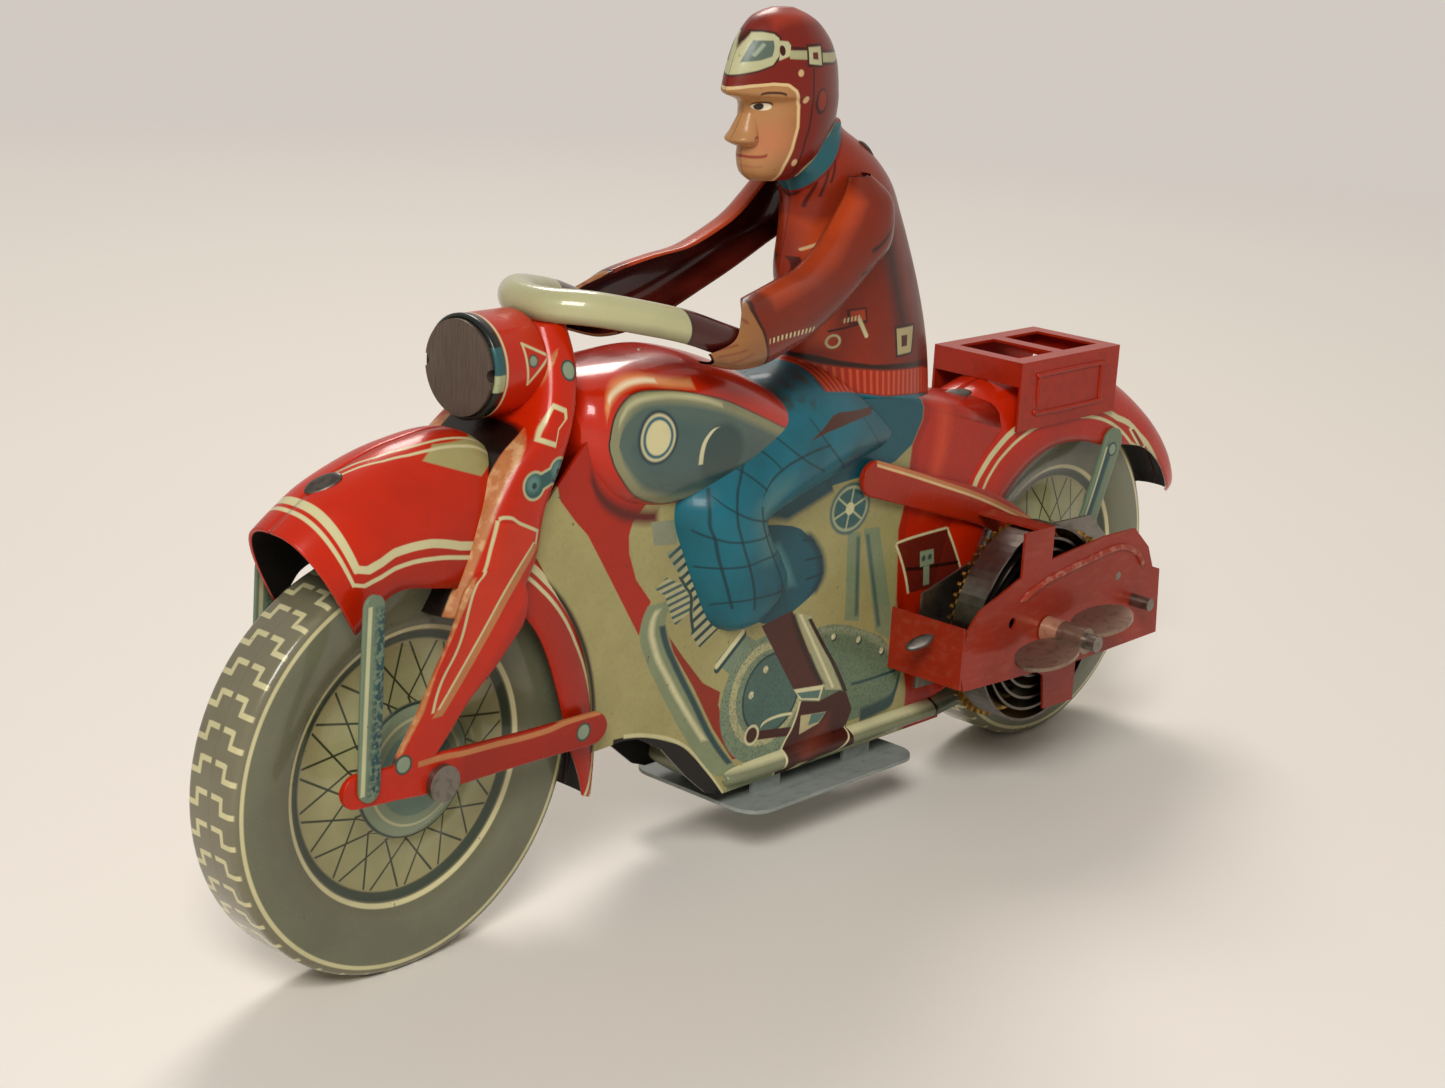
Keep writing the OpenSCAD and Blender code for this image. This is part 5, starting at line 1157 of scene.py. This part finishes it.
# Painted shade: the hand darkens towards its lower edge.
sleeve.lay("#7d5433", sleeve.both(hand, sleeve.ramp(sleeve.z, 116, 110)), 0.7)
sleeve.line("#3a130b", 0.7, cuff, upright=True)
finger_brown = "#8a4d30"
for a, b in (((-49.4, 114.4), (-45.3, 115.3)), ((-49, 113.1), (-43.2, 114.1)),
             ((-45.6, 111.7), (-41.3, 113.2))):
    sleeve.rod(finger_brown, a, b, 0.45)
sleeve.dot(finger_brown, -41.1, 119, 0.5)
zip_line = sleeve.stroke([(-36.5, 115), (-29.2, 115.5), (-21, 115.7)], 1.0)
sleeve.lay(cream, sleeve.both(zip_line, sleeve.stripes(0, 1.3, 0.4)))
sleeve_print = sleeve.finish()
# Dark maroon lining of the arms, partly painted shade.
lining = Print("sleeve_lining", "#3d0d08")
lining.lay("#641a10", lining.cloud(0.08, 0.4, 0.7), 0.6)
lining_varnish_and_shade = lining.finish(rough=0.22, coat=0.6)
arm_out, arm_in = arm_grid(0.0), arm_grid(sheet_tin)
rims = np.concatenate([arm_in[:, :1], arm_out, arm_in[:, -1:]], axis=1)
core = (arm_out.mean(axis=1, keepdims=True) + arm_in[:, [0, -1]].mean(axis=1, keepdims=True)) / 2
points, quads = grid_block(rims, core)
inner_points, inner_quads = grid_block(arm_in, core)
for side, flip in (("left", 1), ("right", -1)):
    arm_node = (side + "_arm",)
    outer_block = (points * (1, flip, 1), quads[:, ::flip])
    inner_block = (inner_points * (1, flip, 1), inner_quads[:, ::-flip])
    mesh_piece(side + "_sleeve", [outer_block], sleeve_print, arm_node)
    mesh_piece(side + "_sleeve_inside", [inner_block], lining_varnish_and_shade, arm_node)

# Handlebar: one sheet rolled to a tube that stays open underneath, printed cream with red-brown grips.
# It lies on the top of the fork in front of the tank, and the rider's hands close round its ends.
bar_line = [(-67.7, 0, 0), (-66.8, 4.5, 0), (-62, 10, -0.2), (-54, 14.5, -1.8), (-45.6, 17.5, -3.9),
    (-37, 19.5, -7), (-31, 20.8, -9.2)]


def bar_grid(line, radius, sheet, gap):
    """A ring open by the gap either side of straight down, carried along a line across both sides."""
    fork_top, clear = 79.5, 0.05
    half = smooth_rows(line, 10) + (0, 0, fork_top + clear + radius * math.cos(math.radians(gap)))
    path = np.vstack([half[:0:-1] * (1, -1, 1), half])
    run = np.gradient(path, axis=0)
    run /= np.linalg.norm(run, axis=1)[:, None]
    across = np.cross(run, (0, 0, 1))
    across /= np.linalg.norm(across, axis=1)[:, None]
    rise = np.cross(across, run)
    a = np.radians(np.linspace(-90 + gap, 270 - gap, 49))
    a = np.concatenate([a, a[::-1]])
    r = np.concatenate([np.full(49, radius), np.full(49, radius - sheet)])
    ring = across[:, None] * (r * np.cos(a))[None, :, None] + rise[:, None] * (r * np.sin(a))[None, :, None]
    return path[:, None] + ring


bar_ring = bar_grid(bar_line, radius=3.5, sheet=0.6, gap=40)
handle = Print("handlebar_print", "#b7b488")
# Painted shade: the tube darkens below a line towards its open underside.
under_line = handle.curve(handle.x, [(-75.7, 122.3), (-62, 120.6), (-53.6, 118.4), (-45, 115.3)])
handle.lay("#6f6a4e", handle.ramp(handle.math("SUBTRACT", under_line, handle.z), 0.6, 3.0), 0.8)
handle.lay("#430f0c", handle.ramp(handle.x, -54.2, -53.8))
handle.lay("#2a0a08", handle.band(handle.x, -54, 0.5))
handle_print = handle.finish(coat=0.6)
mesh_piece("handlebar_tube", [round_block(bar_ring)], handle_print, ("handlebar",))

# Wheels: two pressed discs of tin each, crimped together along the middle of the tread.
# Tyre, spokes and hub are printed on them, and a bush between the discs turns on or with the axle.
wheel_outline = [(0.01, 40), (5.1, 40), (5.54, 39.94), (5.95, 39.77), (6.3, 39.5), (6.57, 39.15),
    (6.74, 38.74), (6.9, 37.4), (7, 34.5), (7, 33.25), (6.3, 28.5), (5.4, 26.5), (4.4, 24.5), (5.6, 13.8),
    (7.2, 13), (8, 10), (8.3, 5), (8.3, 3.3)]
tyre = Print("wheel_print", "#55695a")
from_middle = tyre.math("ABSOLUTE", tyre.math("SUBTRACT", tyre.x, axle_middle[0]))
along = tyre.math("SUBTRACT", from_middle, half_base)
up = tyre.math("SUBTRACT", tyre.z, axle_middle[2])
far = tyre.math("SQRT", tyre.math("MULTIPLY_ADD", along, along, tyre.math("MULTIPLY", up, up)))
turn = tyre.math("MULTIPLY", tyre.math("ARCTAN2", up, along), 180 / math.pi)
depth = tyre.math("ABSOLUTE", tyre.y)
tyre.lay("#3d4c3f", tyre.ramp(far, 30, 26.5), 0.8)
tyre.lay("#a2a071", tyre.ramp(far, 24.3, 24.1))
# Painted reflection: a brownish tint over the outer part of the spoke field.
tyre.lay("#8a7a55", tyre.ramp(far, 18, 24), 0.4)
in_field = tyre.both(tyre.ramp(far, 13, 13.2), tyre.ramp(far, 24.1, 23.9))
hub_circle, spoke_pitch = 9.0, 20.0
lean = tyre.math("MULTIPLY", tyre.math("ARCCOSINE", tyre.math("DIVIDE", hub_circle, far)), 180 / math.pi)
for way in ("ADD", "SUBTRACT"):
    fold = tyre.math("PINGPONG", tyre.math(way, turn, lean), spoke_pitch / 2)
    wire = tyre.ramp(tyre.math("MULTIPLY", fold, tyre.math("MULTIPLY", far, math.pi / 180)), 0.34, 0.16)
    tyre.lay("#343c28", tyre.both(wire, in_field))
tyre.lay("#8b9a7c", tyre.ramp(far, 13.2, 13.0))
tyre.lay("#2f423a", tyre.band(far, 12.9, 0.5))
tyre.lay(pale_green, tyre.band(far, 10.4, 0.5))
tyre.lay("#6a8877", tyre.ramp(far, 8.6, 8.4))
tyre.lay(cream, tyre.band(far, 26.7, 0.9))
tyre.lay("#33402f", tyre.band(far, 25.2, 1.5))
on_tread = tyre.ramp(far, 38.5, 38.7)
tyre.lay("#77725a", on_tread)
tread_blocks = 42
place = tyre.math("WRAP", turn, 360 / tread_blocks, 0.0)
for out, wide, ahead_by, long in ((4.9, 3.0, 0.9, 1.5), (2.0, 2.8, 4.6, 1.5), (3.4, 0.9, 2.7, 5.0)):
    tread_bar = tyre.both(tyre.band(depth, out, wide), tyre.band(place, ahead_by, long))
    tyre.lay(cream, tyre.both(tread_bar, on_tread))
tyre.lay(cream, tyre.band(far, 38.1, 0.8))
wheel_print = tyre.finish(coat=0.5)
for wheel, axle in (("front_wheel", -half_base), ("rear_wheel", half_base)):
    for side, sign in (("left", -1), ("right", 1)):
        node_name = wheel + "_" + side
        grid = turned_part(wheel_outline, (0, 0, 0), "y") * (1, sign, 1) + (axle, 0, 0)
        block = grid_block(grid, (axle, 0, 0), joined=True)
        mesh_piece(node_name + "_disc", [block], wheel_print, (node_name,), body=wheel)

# Small fittings: tabs of bare steel folded over the seam, and the twisted tab in the plate's front flange.
# The plate's stiffening ridge and the raised frames on the rack's sides are pressed in their sheet.


def bead(line, radius):
    """A round bead of that radius carried along a line in space, its ends drawn to a point."""
    path = smooth_rows(line, 8)
    run = np.gradient(path, axis=0)
    run /= np.linalg.norm(run, axis=1)[:, None]
    out = np.cross(run, (0, 1, 0))
    out /= np.linalg.norm(out, axis=1)[:, None]
    rise = np.cross(out, run)
    a = np.linspace(0, 2 * np.pi, 17)[:-1]
    size = radius * (5 * np.sin(np.linspace(0.02, np.pi - 0.02, len(path)))).clip(0, 1)
    ring = out[:, None] * np.cos(a)[None, :, None] + rise[:, None] * np.sin(a)[None, :, None]
    return round_block(path[:, None] + ring * size[:, None, None])


def folded_tab(middle, long_way, wide_way, sizes):
    """A thin lens: half sizes along, across and up times the cosines and sines of two angles."""
    long_way, wide_way = (np.array(v, float) / np.linalg.norm(v) for v in (long_way, wide_way))
    u = np.linspace(-np.pi / 2, np.pi / 2, 13)[:, None]
    v = np.linspace(0, 2 * np.pi, 33)[None, :-1]
    ways = (long_way, wide_way, np.cross(long_way, wide_way))
    flat = np.cos(u) ** 0.5
    parts = (flat * np.cos(v), flat * np.sin(v), np.sin(u) * np.ones_like(v))
    grid = sum(part[..., None] * way * size for part, way, size in zip(parts, ways, sizes))
    grid = grid + np.array(middle, float)
    return grid_block(grid, middle, joined=True)


tab = Print("tab_steel", "#5c5852")
tab.lay("#2f2a26", tab.cloud(0.5, 0.4, 0.62), 0.6)
tab_steel = tab.finish(rough=0.36, metal=0.8, coat=0.1)
seam_tabs = [folded_tab((-116.4, -0.8, 55.4), (1.0, -0.5, 0.5), (-0.3, -1, -0.4), (3.6, 2.0, 0.5)),
             folded_tab((-38.4, -2.6, 69.6), (1, 0, -0.25), (0, -1, -0.5), (3.2, 1.8, 0.5)),
             folded_tab((22.4, -3.6, 105.6), (0.7, 0, -0.7), (0.3, -1, 0.3), (3.6, 1.4, 0.5)),
             folded_tab((61.4, -3.4, 49.3), (1, -0.3, 0.1), (0.1, -1, -0.3), (3.8, 1.8, 0.5)),
             folded_tab((28.6, -23.4, 2.2), (0.9, -0.5, 0.5), (0.1, -1, -0.6), (3.4, 1.5, 0.45))]
mesh_piece("seam_tabs", seam_tabs, tab_steel, ())
ridge = Print("plate_ridge", "#9a3320")
ridge.lay("#c08a72", ridge.cloud(0.5, 0.5, 0.66), 0.7)
plate_ridge = ridge.finish(rough=0.4)
plate_face, rack_side = -31, 12.61
ridge_line = [(54, 8.4), (60, 10.6), (67, 12), (82, 13.8), (92, 14.4), (99, 12), (103, 7.6)]
ridge_bead = bead([(x, plate_face, z) for x, z in ridge_line], 0.8)
mesh_piece("plate_ridge", [ridge_bead], plate_ridge, ())
rack_frame = [(80, 45), (80, 52), (81, 53), (104, 53), (105, 52), (105, 45), (104, 44), (81, 44), (80, 45)]
frames = [bead([(x, rack_side * side, z) for x, z in rack_frame], 0.6) for side in (-1, 1)]

# Clockwork, key, lamp disc, rack and base plate keep their solids and get their metals or paint here.
# Each is a base colour with a darker or paler grain, drawn out along the way the sheet was worked.
even = (1, 1, 1)
steel_nodes = ("front_axle", "rear_axle", "front_bush", "rear_bush", "second_arbor", "winding_arbor",
               "ratchet_wheel", "click", "click_rivet", "click_spring", "plate_pillars", "inner_plate")
brass_nodes = ("great_wheel", "second_gear", "second_pinion", "axle_pinion")
metals = (("steel", "#8a847c", "#4a443e", 0.5, 0.36, 1.0, even, steel_nodes),
          ("lamp_steel", "#6b5d53", "#463b34", 0.6, 0.42, 0.7, (1, 14, 0.4), ("headlamp_disc",)),
          ("key_steel", "#94806f", "#5b4a40", 0.5, 0.33, 0.8, even, ("key_wings",)),
          ("brass", "#a8823f", "#5f4a26", 0.5, 0.38, 1.0, even, brass_nodes),
          ("copper", "#cfa384", "#8c5f47", 0.4, 0.3, 0.55, even, ("key_sleeve",)),
          ("plate_red", "#96260f", "#a9664f", 0.16, 0.34, 0.0, (0.5, 1, 1.6), ("outer_plate",)),
          ("rack_red", "#a42409", "#82190a", 0.4, 0.34, 0.0, even, ("luggage_rack",)),
          ("grey_plate", "#949b95", "#6d746f", 0.4, 0.5, 0.0, (0.5, 1, 1), ("base_plate",)))
for name, code, second, share, rough, metal, grain, nodes in metals:
    made = Print(name, code)
    drawn = made.vector("MULTIPLY", made.spot, grain)
    streak = made.node("TexNoise", drawn, None, 0.5, 4.0).outputs[0]
    made.lay(second, made.ramp(streak, 0.5, 0.68), share)
    made_material = made.finish(rough=rough, metal=metal, coat=0.1 if metal == 0 else 0.0)
    for node_name in nodes:
        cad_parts[node_name].data.materials.clear()
        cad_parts[node_name].data.materials.append(made_material)
    if name == "rack_red":
        mesh_piece("rack_frames", frames, made_material, ())

# Mainspring: one flat strip of blued steel, wound outwards from the winding arbor in eight turns.
# Its outer end is bent to a hook round the plate's front pillar.


def spring_ring():
    """Radius grows evenly with the turn from the arbor to the hook, then half a turn round the pillar.
    The strip's section is a flat box carried along that line."""
    key_x, turns, start = 64.9053, 8, 3.2
    gear_tip, pillar_radius, clear, loose, half_strip = 23.04, 1.5, 1.3, 0.15, 0.3
    near, deep = 22.3, 29.3
    pillar = gear_tip + pillar_radius + clear
    hook = pillar_radius + loose + half_strip
    at = np.radians(189)
    spot = pillar * np.array([math.cos(at), math.sin(at)])
    part = np.linspace(0, 1, turns * 72 + 1)
    turn = at + 2 * np.pi * turns * (part - 1)
    radius = start + (pillar - hook - start) * part
    coil = np.stack([radius * np.cos(turn), radius * np.sin(turn)], axis=-1)
    back = at + np.pi - np.radians(np.linspace(6, 200, 32))
    bend = spot + hook * np.stack([np.cos(back), np.sin(back)], axis=-1)
    line = np.vstack([coil, bend]) + (key_x, 0)
    run = np.gradient(line, axis=0)
    side = np.column_stack([-run[:, 1], run[:, 0]]) / np.linalg.norm(run, axis=1)[:, None]
    rings = []
    for off, depth in ((half_strip, near), (half_strip, deep), (-half_strip, deep), (-half_strip, near)):
        edge = line + side * off
        rings.append(np.column_stack([edge[:, 0], np.full(len(line), -depth), edge[:, 1]]))
    return np.stack(rings, axis=1)


blued = Print("spring_steel", "#6a645e")
blued.lay("#3a3634", blued.cloud(0.5, 0.4, 0.7), 0.4)
blued_steel = blued.finish(rough=0.3, metal=1.0, coat=0.0)
spring_block = round_block(spring_ring())
mesh_piece("mainspring_strip", [spring_block], blued_steel, ("mainspring",), smooth=False)
